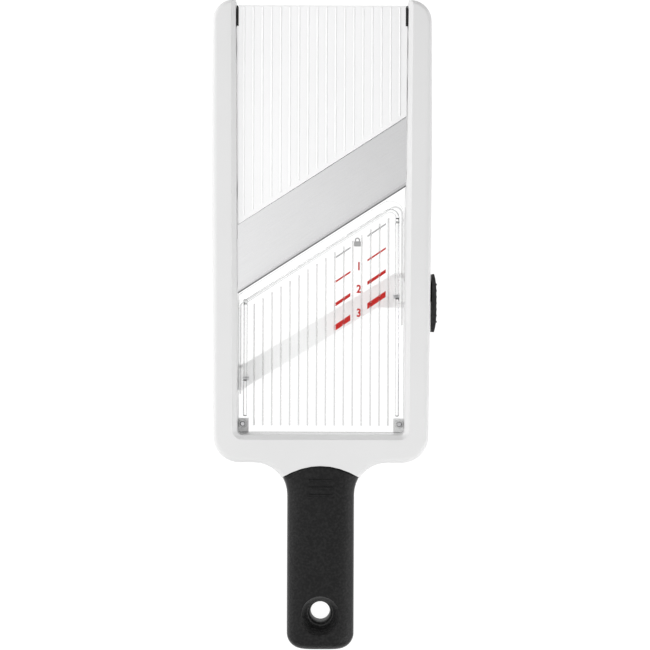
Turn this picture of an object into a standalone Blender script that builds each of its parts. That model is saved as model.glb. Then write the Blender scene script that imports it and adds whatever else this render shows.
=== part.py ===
"""Hand-held mandoline slicer, built lying on a table with its handle towards -Y.

Food is pushed from the handle end over the clear ramp, meets the slanted blade and the slice
drops under the landing plate. A grip on the right rail slides the thickness bar along Y, and
the bar's pins ride in sloping slots in the ramp's skirts, so the ramp rises level as it goes.
"""
import math

import bmesh
import bpy
from mathutils import Vector

MM = 0.001

# ---- driving sizes: the whole tool
LENGTH = 375 * MM
WIDTH = 127.3 * MM  # over both rails, without the side grip
RAIL_TOP = 24 * MM
RAIL_FOOT = 3 * MM  # underside of the rails above the table
HANDLE_LENGTH = 108.2 * MM  # shoulder to the end of the grip
SHOULDER_DEPTH = 15.8 * MM  # shoulder to the near edge of the opening
GAP = 0.3 * MM  # air between two pieces that touch

# ---- rails
RAIL_WIDTH = 15.25 * MM  # at the widest point of the frame, beside the ramp
FAR_OUTER_INSET = 0.55 * MM  # outer side at the far end, against the widest point
NEAR_OUTER_INSET = 1.75 * MM  # outer side at the shoulder, against the widest point
FAR_OPENING_GAIN = 1.5 * MM  # the opening is this much wider each side at the far end
WALL = 2.6 * MM
RAIL_EDGE = 3 * MM
RAIL_FOOT_EDGE = 1.2 * MM
INNER_CHAMFER = 2.5 * MM
FAR_CORNER = 12.5 * MM
RIB = 2 * MM

# ---- neck and tang
GRIP_WIDTH = 38.8 * MM
GRIP_THICKNESS = 24.6 * MM
SHOULDER_RADIUS_SHARE = 0.36  # of the run from the rail's outside to the grip's side
NECK_FILLET_SHARE = 0.45
NECK_SEAT_Z = 16 * MM  # where the neck steps down under the grip's tongue
NECK_LENGTH = 24.7 * MM  # shoulder to the end of the white flanks
TONGUE_RISE = 2 * MM  # shoulder to the crown of the tongue's curved front
TONGUE_SAG = 6.6 * MM  # fall of that curve out to the tongue's corners
TONGUE_FLARE_RUN = 14 * MM  # the tongue's sides curve in over this length
TANG_HALF_WIDTH = 13 * MM
TANG_UNDER = 6 * MM
TANG_END_CORNER = 8 * MM
TANG_PAST_HOLE = 3.5 * MM  # tang beyond the eye round the hole

# ---- grip
GRIP_EDGE = 7 * MM
GRIP_END_CORNER = 9.5 * MM
TONGUE_HALF_WIDTH = 22.2 * MM
HOLE_FROM_END = 20.4 * MM
HOLE_RADIUS = 5.65 * MM
HOLE_WALL = 2.4 * MM
DISH_RADIUS = 11.25 * MM
DISH_DEPTH = 2.6 * MM  # underneath
DISH_OVER_DEPTH = 8 * MM
THUMB_RIBS = 3
THUMB_RIB_PITCH = 4.2 * MM
THUMB_RIB_HALF_LENGTH = 7 * MM
THUMB_RIB_HALF_WIDTH = 0.7 * MM
THUMB_RIB_HEIGHT = 0.6 * MM
THUMB_RIBS_FROM_FRONT = 8 * MM

# ---- blade
BLADE_ANGLE = math.radians(32.7)
BLADE_ACROSS = 33.4 * MM  # cutting edge to back edge, square to the edge
BLADE_THICK = 1 * MM
BLADE_TOP = RAIL_TOP - 3.7 * MM
BLADE_SHARE = 0.4475  # middle of the cutting edge along the opening
BLADE_GRIND = 2.2 * MM
BLADE_OVERHANG = 7 * MM  # steel standing free of its seat
BLADE_TAB_HALF = 12 * MM
BLADE_TAB_REACH = 8.6 * MM
BLADE_SCREW_HALF = 7 * MM
BLADE_SCREW_INSET = 4.8 * MM  # from the opening's side

# ---- landing plate
PLATE_TOP = RAIL_TOP - 3.5 * MM
PLATE_THICK = 2.4 * MM
PLATE_END_INSET = 3.2 * MM
PLATE_SIDE_GAP = 0.4 * MM
PLATE_RIB_MARGIN = 3 * MM  # at least this far from the opening's side
PLATE_RIB_PITCH = 5.28 * MM
PLATE_RIB_WIDTH = 1.1 * MM
PLATE_RIB_HEIGHT = 0.5 * MM
PLATE_RIB_FROM_EDGE = 2.5 * MM
PLATE_CHAMFER = 1.2 * MM
PLATE_BOSS = 3 * MM
SEAT_SIDE_INSET = 0.4 * MM  # the seat is this much narrower each side than the plate
SEAT_BEHIND = 10 * MM  # how far the blade's seat runs on under the plate
BRACKET_TOP = PLATE_TOP - 6.7 * MM
BRACKET_THICK = 3.8 * MM
CROSSBAR_FROM_END = 26.5 * MM
BRACKET_HALF = 5.5 * MM
BRACKET_REACH = 10.5 * MM
LEFT_BRACKET_BEHIND = 21 * MM  # along Y from the blade's back edge
RIGHT_BRACKET_SHARE = 0.3426  # of the way from the blade's back edge to the foot's fin
CROSSBAR_BOSS_SHARE = 0.78  # of the opening's half width

# ---- ramp and its travel
RAMP_DROP = 4.5 * MM  # below the blade's top at the thickest setting
RAMP_THICK = 2.6 * MM
RAMP_SIDE_GAP = 0.5 * MM
RAMP_NEAR_GAP = 0.9 * MM
RAMP_BLADE_GAP = 0.9 * MM
RAMP_RIB_MARGIN = 9 * MM  # at least this far from the opening's side
RAMP_RIB_PITCH = 5.19 * MM
RAMP_RIB_WIDTH = 0.9 * MM
RAMP_RIB_HEIGHT = 0.5 * MM
RAMP_RIB_FROM_BLADE = 11.6 * MM
RAMP_RIB_FROM_NEAR = 5.2 * MM
RAMP_CORNER = 8 * MM
RAMP_NEAR_CORNER = 2 * MM
RAMP_EDGE_CORNER = 1.5 * MM
FRONT_SKIRT_BEHIND = 5 * MM  # short of the cutting edge
FRONT_SKIRT_THICK = 1.8 * MM
FRONT_SKIRT_DEPTH = 4.2 * MM
SKIRT_THICK = 2 * MM
SKIRT_INSET = 5.2 * MM  # outer face of a skirt in from the opening's side
STEPS = 3  # from the thickest setting to the lock
STEP_SHARE = 0.1757  # one step of the side grip against the ramp's short side
PIN_RADIUS = 1.25 * MM
PIN_BELOW_RAMP = 2.4 * MM
SLOT_WALL = 1.3 * MM
POST_RADIUS = 1.2 * MM
POST_BOSS = 2.4 * MM
POST_FROM_NEAR = 6 * MM
POST_FROM_SIDE = 3 * MM
SHELF_TOP = 8 * MM
SHELF_THICK = 4 * MM
SHELF_REACH = 6 * MM  # from the opening's side
SHELF_PAST_POST = 2.8 * MM
SKIRT_PAST_POST = 4.5 * MM
SKIRT_RUN_IN = 6 * MM  # skirt's lower edge starts to deepen this far before the pin

# ---- thickness bar and side grip
BAR_BOTTOM = RAIL_FOOT + 0.3 * MM
BAR_THICK = 2.7 * MM
BAR_BAND = 14.3 * MM  # along Y
BAR_LEFT_LEAD = 2.3 * MM  # middle of the band ahead of the left pin
BAR_RIGHT_LEAD = 3.9 * MM  # middle of the right end ahead of the right pin
BAR_END_GROWTH = 3 * MM  # near side of the right end, past the band
BAR_FAR_SHARE = 0.8947  # far side of the right end, of the way to where the skirt comes down
BAR_TURN_INSET = 10.4 * MM  # where the band's near side turns square, in from the skirt
BLOCK_WIDTH = 2.6 * MM
PIN_SHORT_OF_EDGE = 6.2 * MM  # left pin at the lock, short of the cutting edge's near end
RIGHT_PIN_SHARE = 0.77  # right pin ahead of the left one, against the blade's rise along Y
STEM_HALF = 6 * MM
STEM_HEIGHT = 5.1 * MM
SIDE_GRIP_LENGTH = 33.6 * MM
SIDE_GRIP_HEIGHT = 13 * MM
SIDE_GRIP_PROUD = 2.6 * MM
SIDE_GRIP_NECK = 5.5 * MM
SIDE_GRIP_LAG = 6.7 * MM  # middle of the grip behind its stem
SIDE_SCREW_INSET = 4.6 * MM  # from the inner wall
SPRING_THICK = 0.4 * MM
SPRING_HEIGHT = 3.2 * MM
DETENT_DEPTH = 0.7 * MM

# ---- screws and feet
SCREW_RADIUS = 1.25 * MM
SCREW_HEAD = 2.6 * MM
SCREW_HEAD_THICK = 2.1 * MM
FOOT_LENGTH = 24 * MM
FOOT_FIN = 1 * MM
FOOT_FIN_LENGTH = 11.6 * MM
FOOT_PLUG_HALF = 2.4 * MM
FOOT_PLUG_HEIGHT = 5 * MM
FOOT_INSET = (0.6 * MM, 0.8 * MM)  # from the rail's inner and outer sides

# ---- sizes that follow from those above
FAR_Y = LENGTH / 2
HANDLE_Y = -LENGTH / 2
SHOULDER_Y = HANDLE_Y + HANDLE_LENGTH
NEAR_Y = SHOULDER_Y + SHOULDER_DEPTH
HALF = WIDTH / 2
NEAR_HALF = HALF - RAIL_WIDTH
BLADE_SLOPE = math.tan(BLADE_ANGLE)
BLADE_RISE = 2 * NEAR_HALF * BLADE_SLOPE
EDGE_MID_Y = NEAR_Y + BLADE_SHARE * (FAR_Y - NEAR_Y)
EDGE_LEFT_Y = EDGE_MID_Y - BLADE_RISE / 2
STEP = STEP_SHARE * (EDGE_LEFT_Y - NEAR_Y)
TRAVEL = STEPS * STEP
LEFT_PIN_Y = EDGE_LEFT_Y - PIN_SHORT_OF_EDGE - TRAVEL
RIGHT_PIN_Y = LEFT_PIN_Y + RIGHT_PIN_SHARE * BLADE_RISE
STEM_Y = RIGHT_PIN_Y + 3 * MM
RAMP_TOP = BLADE_TOP - RAMP_DROP
RAMP_UNDER = RAMP_TOP - RAMP_THICK
PIN_Z = RAMP_UNDER - PIN_BELOW_RAMP
SKIRT_UNDER = PIN_Z - PIN_RADIUS - GAP - SLOT_WALL  # at the pin, with the ramp at rest
BLOCK_TOP = RAMP_UNDER - GAP
BAR_TOP = BAR_BOTTOM + BAR_THICK
NECK_END_Y = SHOULDER_Y - NECK_LENGTH
HOLE_Y = HANDLE_Y + HOLE_FROM_END
ROOF_UNDER = RAIL_TOP - WALL
BLADE_UNDER = BLADE_TOP - BLADE_THICK
SEAT_TOP = BLADE_UNDER - GAP
SEAT_UNDER = SEAT_TOP - PLATE_THICK
SCREW_SHELF = SEAT_TOP - 8 * MM
PLATE_BORE_TOP = PLATE_TOP - 3 * MM
CROSSBAR_Y = FAR_Y - CROSSBAR_FROM_END
GRIP_CENTRE_SHIFT = (SIDE_GRIP_PROUD + GAP) / 2  # the side grip makes the tool lopsided
BEYOND = 10 * MM  # cutters run this far past what they cut
BURY = 1 * MM  # pieces of one solid run this far into each other


def scene_root():
    """Empty the file and make the two collections and the parent that centres the tool."""
    for old in list(bpy.data.objects):
        bpy.data.objects.remove(old)
    made = []
    for name in ("mandoline_slicer", "cutters"):
        folder = bpy.data.collections.new(name)
        bpy.context.scene.collection.children.link(folder)
        made.append(folder)
    centre = bpy.data.objects.new("assembly", None)
    centre.location = (-GRIP_CENTRE_SHIFT, 0, 0)
    made[0].objects.link(centre)
    return made[0], made[1], centre


PARTS, CUTTERS, ASSEMBLY = scene_root()


def material(name, color, roughness, metallic=0.0, transmission=0.0):
    """A plain surface for one sub-part."""
    mat = bpy.data.materials.new(name)
    mat.use_nodes = True
    shader = mat.node_tree.nodes["Principled BSDF"]
    shader.inputs["Base Color"].default_value = (*color, 1)
    shader.inputs["Roughness"].default_value = roughness
    shader.inputs["Metallic"].default_value = metallic
    shader.inputs["Transmission Weight"].default_value = transmission
    mat.diffuse_color = (*color, 1)
    return mat


WHITE = (0.86, 0.86, 0.86)
BLACK = (0.02, 0.02, 0.021)
STEEL = (0.62, 0.62, 0.63)
CLEAR = (0.93, 0.95, 0.95)


def finish(obj, mat, smooth_angle=None):
    """Hand a solid over as a named sub-part."""
    CUTTERS.objects.unlink(obj)
    PARTS.objects.link(obj)
    obj.hide_render = False
    obj.display_type = "TEXTURED"
    obj.data.materials.clear()
    obj.data.materials.append(mat)
    if smooth_angle:
        obj.data.shade_smooth()
        obj.data.set_sharp_from_angle(angle=math.radians(smooth_angle))
    return obj


def held(name, mesh):
    """A new mesh object, kept with the cutters until finish() hands it over."""
    obj = bpy.data.objects.new(name, mesh)
    CUTTERS.objects.link(obj)
    obj.parent = ASSEMBLY
    obj.hide_render = True
    obj.display_type = "WIRE"
    return obj


def tidy(bm):
    """Weld the seams, turn every face outward and make each flat end one face."""
    bmesh.ops.remove_doubles(bm, verts=bm.verts, dist=1e-6)
    bmesh.ops.recalc_face_normals(bm, faces=bm.faces)
    for level in {round(vertex.co.z, 6) for vertex in bm.verts}:
        cap = []
        for face in bm.faces:
            if all(abs(vertex.co.z - level) < 1e-6 for vertex in face.verts):
                cap.append(face)
        bmesh.ops.dissolve_faces(bm, faces=cap)


def rounded(corners, steps=6):
    """A closed outline through corners (x, y, radius), with steps per quarter turn."""
    outline = []
    count = len(corners)
    for i in range(count):
        corner = Vector(corners[i][:2])
        radius = corners[i][2]
        before = Vector(corners[i - 1][:2]) - corner
        after = Vector(corners[(i + 1) % count][:2]) - corner
        before.normalize()
        after.normalize()
        half_angle = before.angle(after) / 2
        if radius <= 0 or half_angle > math.pi / 2 - 0.01:
            outline.append(tuple(corner))
            continue
        centre = corner + (before + after).normalized() * radius / math.sin(half_angle)
        start = corner + before * radius / math.tan(half_angle) - centre
        end = corner + after * radius / math.tan(half_angle) - centre
        turn = start.angle_signed(end)
        pieces = max(2, round(abs(turn) / (math.pi / 2) * steps))
        for k in range(pieces + 1):
            angle = -turn * k / pieces
            outline.append(
                (
                    centre.x + start.x * math.cos(angle) - start.y * math.sin(angle),
                    centre.y + start.x * math.sin(angle) + start.y * math.cos(angle),
                )
            )
    return outline


def mirrored(points):
    """An outline closed across the centreline, from the points of its +X half."""
    return list(points) + [(-p[0], *p[1:]) for p in reversed(points)]


def prism(name, outline, low, high):
    """A flat-ended solid with this outline, standing from low to high."""
    curve = bpy.data.curves.new(name, "CURVE")
    curve.dimensions = "2D"
    curve.fill_mode = "BOTH"
    curve.extrude = (high - low) / 2
    spline = curve.splines.new("POLY")
    spline.points.add(len(outline) - 1)
    for point, (x, y) in zip(spline.points, outline):
        point.co = (x, y, 0, 1)
    spline.use_cyclic_u = True
    shape = bpy.data.objects.new(name, curve)
    mesh = bpy.data.meshes.new_from_object(shape)
    bpy.data.objects.remove(shape)
    bpy.data.curves.remove(curve)
    bm = bmesh.new()
    bm.from_mesh(mesh)
    bmesh.ops.translate(bm, verts=bm.verts, vec=(0, 0, (low + high) / 2))
    tidy(bm)
    bm.to_mesh(mesh)
    bm.free()
    return held(name, mesh)


def box(name, x, y, z):
    """A block between the two values of each pair."""
    outline = [(x[0], y[0]), (x[1], y[0]), (x[1], y[1]), (x[0], y[1])]
    return prism(name, outline, z[0], z[1])


def side_prism(name, outline, low, high):
    """A solid whose outline is given in Y and Z, standing from low to high along X."""
    obj = prism(name, [(y, z) for y, z in outline], low, high)
    for vertex in obj.data.vertices:
        across, up, along = vertex.co
        vertex.co = (along, across, up)
    return obj


def rod(name, centre, radius, low, high, axis="Z", top_radius=None, sides=24):
    """A round solid along one axis, from low to high on that axis."""
    bm = bmesh.new()
    bmesh.ops.create_cone(
        bm,
        cap_ends=True,
        segments=sides,
        radius1=radius,
        radius2=radius if top_radius is None else top_radius,
        depth=high - low,
    )
    for vertex in bm.verts:
        x, y, z = vertex.co
        z += (low + high) / 2
        if axis == "Z":
            vertex.co = (centre[0] + x, centre[1] + y, z)
        else:
            vertex.co = (z, centre[0] + x, centre[1] + y)
    mesh = bpy.data.meshes.new(name)
    bm.to_mesh(mesh)
    bm.free()
    return held(name, mesh)


def taper(name, lower, upper, low, high):
    """A solid lofted between two outlines with the same number of points."""
    bm = bmesh.new()
    rings = []
    for outline, z in ((lower, low), (upper, high)):
        rings.append([bm.verts.new((x, y, z)) for x, y in outline])
    count = len(lower)
    for i in range(count):
        j = (i + 1) % count
        bm.faces.new((rings[0][i], rings[0][j], rings[1][j], rings[1][i]))
    bm.faces.new(rings[0][::-1])
    bm.faces.new(rings[1])
    bmesh.ops.recalc_face_normals(bm, faces=bm.faces)
    mesh = bpy.data.meshes.new(name)
    bm.to_mesh(mesh)
    bm.free()
    return held(name, mesh)


def gather(name, pieces):
    """One tool made of several solids that stand clear of each other."""
    bm = bmesh.new()
    for piece in pieces:
        bm.from_mesh(piece.data)
        bpy.data.objects.remove(piece)
    mesh = bpy.data.meshes.new(name)
    bm.to_mesh(mesh)
    bm.free()
    return held(name, mesh)


def apply(target, operation, tool):
    """A live Boolean on the target."""
    mod = target.modifiers.new(tool.name, "BOOLEAN")
    mod.operation = operation
    mod.solver = "EXACT"
    mod.object = tool


def add(target, *tools):
    for tool in tools:
        apply(target, "UNION", tool)


def cut(target, *tools):
    for tool in tools:
        apply(target, "DIFFERENCE", tool)


def round_edges(obj, width, weigh, segments=4):
    """Bevel the edges of a solid, each by width times the weight weigh(a, b) gives it."""
    layer = obj.data.attributes.new("bevel_weight_edge", "FLOAT", "EDGE")
    for edge in obj.data.edges:
        ends = [obj.data.vertices[i].co for i in edge.vertices]
        layer.data[edge.index].value = weigh(*ends)
    mod = obj.modifiers.new("round_edges", "BEVEL")
    mod.limit_method = "WEIGHT"
    mod.width = width
    mod.segments = segments
    mod.use_clamp_overlap = False


def on_line(y, far_value, near_value, far_y, near_y):
    """A value that changes evenly between two stations along the tool."""
    share = min(1.0, max(0.0, (y - near_y) / (far_y - near_y)))
    return near_value + share * (far_value - near_value)


def outer_half(y):
    """Half the frame's width at this station."""
    widest = NEAR_Y + 0.65 * (FAR_Y - NEAR_Y)
    if y > widest:
        return on_line(y, HALF - FAR_OUTER_INSET, HALF, FAR_Y, widest)
    return on_line(y, HALF, HALF - NEAR_OUTER_INSET, widest, SHOULDER_Y)


def inner_half(y):
    """Half the opening's width at this station."""
    return on_line(y, NEAR_HALF + FAR_OPENING_GAIN, NEAR_HALF, FAR_Y, EDGE_LEFT_Y)


def edge_y(x):
    """Where the cutting edge crosses this X."""
    return EDGE_MID_Y + x * BLADE_SLOPE


def behind_edge(x, distance):
    """Where a line parallel to the cutting edge, this far behind it, crosses this X."""
    return edge_y(x) + distance / math.cos(BLADE_ANGLE)


def wall_station(side, distance):
    """The station where such a line meets the opening's left (-1) or right (1) side."""
    y = behind_edge(side * NEAR_HALF, distance)
    return behind_edge(side * inner_half(y), distance)


def opening_outline(grow):
    """The opening's outline, run out past the far end and grown by this much."""
    far = inner_half(FAR_Y) + grow
    near = NEAR_HALF + grow
    right = [
        (far, FAR_Y + BEYOND, 0),
        (far, FAR_Y, 0),
        (near, EDGE_LEFT_Y, 0),
        (near, NEAR_Y - grow, 3 * MM + grow),
    ]
    return rounded(mirrored(right))


def tongue_front(gap, half_width):
    """Points along the curved front of the grip's tongue, from -X to +X."""
    crown = SHOULDER_Y - TONGUE_RISE + gap
    points = []
    pieces = 14
    for k in range(pieces + 1):
        x = -half_width + 2 * half_width * k / pieces
        points.append((x, crown - TONGUE_SAG * (x / TONGUE_HALF_WIDTH) ** 2))
    return points


def tongue_flank():
    """Points down the tongue's +X side, from its front corner to where it meets the grip's side."""
    corner_y = SHOULDER_Y - TONGUE_RISE - TONGUE_SAG
    flare = TONGUE_HALF_WIDTH - GRIP_WIDTH / 2
    points = []
    pieces = 5
    for k in range(1, pieces + 1):
        left = 1 - k / pieces
        points.append((GRIP_WIDTH / 2 + flare * left ** 2, corner_y - TONGUE_FLARE_RUN * k / pieces, 0))
    return points


def rib_row(margin, pitch):
    """The X of every rib in a row that keeps this margin from the opening's sides."""
    pairs = max(1, math.floor((NEAR_HALF - margin) / pitch + 0.5))
    return [(k + 0.5) * pitch for k in range(-pairs, pairs)]


def corner_on(side, distance, gap):
    """Where a line behind the cutting edge ends, this gap clear of the opening's side."""
    x = side * (inner_half(wall_station(side, distance)) - gap)
    return x, behind_edge(x, distance)


def rail_pocket(side, start, end):
    """The hollow under a rail between two stations."""
    inner = max(inner_half(start), inner_half(end)) + WALL
    outline = [
        (side * inner, start, 1.5 * MM),
        (side * (outer_half(start) - WALL), start, 1.5 * MM),
        (side * (outer_half(end) - WALL), end, 1.5 * MM),
        (side * inner, end, 1.5 * MM),
    ]
    return prism("pocket", rounded(outline, 3), -BEYOND, ROOF_UNDER)


def tab_middle(side):
    """The station of the blade's fixing tab on one side."""
    return wall_station(side, BLADE_ACROSS / 2)


def pockets():
    """Hollows under the rails, the shoulder and the neck, with ribs left between them."""
    spans = {-1: [], 1: []}
    near = NEAR_Y + RIB
    far = FAR_Y - FAR_CORNER - 2 * RIB
    tab = BLADE_TAB_HALF + 0.5 * MM
    for side in (-1, 1):
        before = tab_middle(side) - tab
        after = tab_middle(side) + tab
        if side < 0:
            stops = [near, LEFT_PIN_Y - 5 * MM, before]
        else:
            stem_start = STEM_Y - STEM_HALF - 14 * MM
            stem_end = STEM_Y + STEM_HALF + TRAVEL + 7 * MM
            stops = [near, (near + stem_start) / 2, stem_start, stem_end]
        spans[side] += list(zip(stops, stops[1:]))
        pieces = max(1, round((far - after) / (45 * MM)))
        for k in range(pieces):
            length = (far - after) / pieces
            spans[side].append((after + k * length, after + (k + 1) * length))
    made = []
    for side, pairs in spans.items():
        for start, end in pairs:
            made.append(rail_pocket(side, start, end - RIB))
        made.append(foot_plug("plug_room", side, -BEYOND, GAP))
    outer = outer_half(SHOULDER_Y) - 1.2 * SHOULDER_DEPTH
    inner = GRIP_WIDTH / 2 - 3 * MM
    for side in (-1, 1):
        low = min(side * inner, side * outer)
        high = max(side * inner, side * outer)
        y = (SHOULDER_Y + WALL, NEAR_Y - WALL)
        made.append(box("pocket", (low, high), y, (-BEYOND, ROOF_UNDER)))
    return gather("rail_pockets", made)


def neck_pocket():
    """The hollow under the neck, ahead of the tang."""
    half = GRIP_WIDTH / 2 - 6.5 * MM
    y = (NECK_END_Y + 6 * MM, NEAR_Y - WALL)
    return box("neck_pocket", (-half, half), y, (-BEYOND, NECK_SEAT_Z - 5 * MM))


def plate_fixings():
    """Where the landing plate's four bosses stand: (x, y, side or 0 on the crossbar)."""
    left = wall_station(-1, BLADE_ACROSS) + LEFT_BRACKET_BEHIND
    back_edge = wall_station(1, BLADE_ACROSS)
    fin = FAR_Y - PLATE_END_INSET - FOOT_FIN_LENGTH
    right = back_edge + RIGHT_BRACKET_SHARE * (fin - back_edge)
    inset = BRACKET_HALF
    spots = [
        (-(inner_half(left) - inset), left, -1),
        (inner_half(right) - inset, right, 1),
    ]
    for side in (-1, 1):
        spots.append((side * CROSSBAR_BOSS_SHARE * NEAR_HALF, CROSSBAR_Y, 0))
    return spots


def brackets():
    """The crossbar under the landing plate's far end and the two side brackets."""
    z = (BRACKET_TOP - BRACKET_THICK, BRACKET_TOP)
    reach = inner_half(CROSSBAR_Y) + BURY
    bar_y = (CROSSBAR_Y - BRACKET_HALF, CROSSBAR_Y + BRACKET_HALF)
    made = [box("crossbar", (-reach, reach), bar_y, z)]
    for x, y, side in plate_fixings():
        if side:
            ends = sorted(
                (side * (inner_half(y) - BRACKET_REACH), side * (inner_half(y) + BURY))
            )
            made.append(box("bracket", ends, (y - BRACKET_HALF, y + BRACKET_HALF), z))
    return made


def post_spot(side):
    """The centre of a guide post in plan."""
    return side * (NEAR_HALF - POST_FROM_SIDE), NEAR_Y + POST_FROM_NEAR


def post_shelves():
    """The two corner shelves that hold the guide posts."""
    made = []
    for side in (-1, 1):
        x, y = post_spot(side)
        ends = sorted((side * (NEAR_HALF - SHELF_REACH), side * (NEAR_HALF + BURY)))
        stations = (NEAR_Y - BURY, y + SHELF_PAST_POST)
        made.append(box("post_shelf", ends, stations, (SHELF_TOP - SHELF_THICK, SHELF_TOP)))
    return made


def tang():
    """The tongue of the frame inside the grip, with an eye round the hanging hole."""
    end = HOLE_Y - HOLE_RADIUS - HOLE_WALL - GAP - TANG_PAST_HOLE
    right = [
        (TANG_HALF_WIDTH, NECK_END_Y + BURY, 0),
        (TANG_HALF_WIDTH, end, TANG_END_CORNER),
    ]
    return prism("tang", rounded(mirrored(right)), TANG_UNDER, NECK_SEAT_Z)


def frame_cutters():
    """Every bore, slot and recess in the frame, in the order it is cut."""
    made = []
    for side in (-1, 1):
        x, y = post_spot(side)
        low = SHELF_TOP - SHELF_THICK + 0.8 * MM
        made.append(rod("post_bore", (x, y), POST_RADIUS + GAP, low, SHELF_TOP + BURY))
    for x, y, side in plate_fixings():
        made.append(
            rod("plate_screw_bore", (x, y), SCREW_RADIUS + GAP, 0, BRACKET_TOP + BURY)
        )
    for side in (-1, 1):
        for x, y in blade_screw_spots(side):
            made.append(rod("screw_bore", (x, y), SCREW_RADIUS + GAP, 0, BLADE_UNDER))
    bores = gather("bores", made)

    made = []
    for side in (-1, 1):
        middle = tab_middle(side)
        reach = NEAR_HALF + BLADE_TAB_REACH + GAP
        ends = sorted((side * (NEAR_HALF - BURY), side * reach))
        half = BLADE_TAB_HALF + GAP
        z = (SEAT_TOP, BLADE_TOP + GAP)
        made.append(box("tab_slot", ends, (middle - half, middle + half), z))
        for x, y in blade_screw_spots(side):
            wide = SCREW_HEAD + 0.8 * MM
            made.append(rod("screw_recess", (x, y), wide, -BEYOND, SCREW_SHELF))
    blade_seats = gather("blade_seats", made)

    made = [left_guide_slot(), stem_slot(), grip_slot()]
    slots = gather("slide_slots", made)
    return [bores, blade_seats, slots]


def blade_screw_spots(side):
    """The two blade screws of one side in plan."""
    x = side * (NEAR_HALF + BLADE_SCREW_INSET)
    middle = tab_middle(side)
    return [(x, middle - BLADE_SCREW_HALF), (x, middle + BLADE_SCREW_HALF)]


def capsule(y0, z0, y1, z1, radius, steps=8):
    """A slot outline in Y and Z, round at both ends."""
    along = math.atan2(z1 - z0, y1 - y0)
    points = []
    for (y, z), start in (((y1, z1), along - math.pi / 2), ((y0, z0), along + math.pi / 2)):
        for k in range(steps + 1):
            angle = start + math.pi * k / steps
            points.append((y + radius * math.cos(angle), z + radius * math.sin(angle)))
    return points


def left_guide_slot():
    """The level slot in the left rail that the left pin's outer end runs in."""
    outline = capsule(LEFT_PIN_Y, PIN_Z, LEFT_PIN_Y + TRAVEL, PIN_Z, PIN_RADIUS + GAP)
    return side_prism("guide_slot", outline, -(NEAR_HALF + WALL + BURY), -(NEAR_HALF - BURY))


def stem_stations(half, gap):
    """The stations between which something of this half length slides, with a gap."""
    return (STEM_Y - half - gap, STEM_Y + half + TRAVEL + gap)


def stem_slot():
    """The slot in the right rail's inner wall for the bar's stem."""
    x = (NEAR_HALF - BURY, NEAR_HALF + FAR_OPENING_GAIN + WALL + BURY)
    z = (BLOCK_TOP - STEM_HEIGHT - GAP, BLOCK_TOP + GAP)
    return box("stem_slot", x, stem_stations(STEM_HALF, GAP), z)


def neck_heights():
    """The bottom and top of the side grip's neck."""
    low = BLOCK_TOP - STEM_HEIGHT / 2 + GAP / 2
    return low, low + SIDE_GRIP_NECK


def grip_slot():
    """The slot in the right rail's outer wall for the side grip's neck."""
    low, high = neck_heights()
    x = (outer_half(NEAR_Y) - WALL - 2 * BURY, HALF + BEYOND)
    return box("grip_slot", x, stem_stations(STEM_HALF, GAP), (low - GAP, high + GAP))


def detent_comb():
    """The row of notches inside the right rail that the leaf spring clicks into."""
    inner = outer_half(STEM_Y) - WALL - DETENT_DEPTH
    outer = inner + DETENT_DEPTH + BURY
    low = neck_heights()[1] + 1.2 * MM
    end = STEM_Y + TRAVEL
    points = [(outer, STEM_Y - 5 * MM), (inner, STEM_Y - 5 * MM)]
    half = 1.6 * MM
    for k in range(STEPS + 1):
        y = STEM_Y + k * STEP
        points += [
            (inner, y - half),
            (inner + DETENT_DEPTH, y - half / 2),
            (inner + DETENT_DEPTH, y + half / 2),
            (inner, y + half),
        ]
    points += [(inner, end + 5 * MM), (outer, end + 5 * MM)]
    return prism("detent_comb", points, low, ROOF_UNDER + BURY)


def frame():
    """The white frame: two rails, shoulder, neck, tang and everything moulded onto them."""
    run = outer_half(SHOULDER_Y) - GRIP_WIDTH / 2
    widest = NEAR_Y + 0.65 * (FAR_Y - NEAR_Y)
    right = [
        (outer_half(FAR_Y), FAR_Y, FAR_CORNER),
        (outer_half(widest), widest, 0),
        (outer_half(SHOULDER_Y), SHOULDER_Y, SHOULDER_RADIUS_SHARE * run),
        (GRIP_WIDTH / 2, SHOULDER_Y, NECK_FILLET_SHARE * run),
        (GRIP_WIDTH / 2, NECK_END_Y, 0),
    ]
    body = prism("frame", rounded(mirrored(right), 9), RAIL_FOOT, RAIL_TOP)

    def weigh(a, b):
        if abs(a.z - b.z) > BURY or max(a.y, b.y) < NECK_END_Y + BURY:
            return 0
        return 1 if a.z > RAIL_TOP - BURY else RAIL_FOOT_EDGE / RAIL_EDGE

    round_edges(body, RAIL_EDGE, weigh)
    lower = opening_outline(0)
    upper = opening_outline(INNER_CHAMFER + BURY)
    chamfer = taper("chamfer", lower, upper, RAIL_TOP - INNER_CHAMFER, RAIL_TOP + BURY)
    seat = tongue_front(GAP, GRIP_WIDTH)
    step = [(-GRIP_WIDTH, NECK_END_Y - BEYOND), *seat, (GRIP_WIDTH, NECK_END_Y - BEYOND)]
    cut(body, prism("opening", lower, -BEYOND, RAIL_TOP + BEYOND), chamfer)
    cut(body, prism("neck_step", step, NECK_SEAT_Z, RAIL_TOP + BEYOND))
    cut(body, pockets(), neck_pocket())
    add(body, *brackets(), *post_shelves(), tang(), detent_comb())
    eye = rod("tang_eye", (0, HOLE_Y), HOLE_RADIUS + HOLE_WALL + GAP, 0, RAIL_TOP, sides=32)
    cut(body, *frame_cutters(), eye)
    return body


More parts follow.
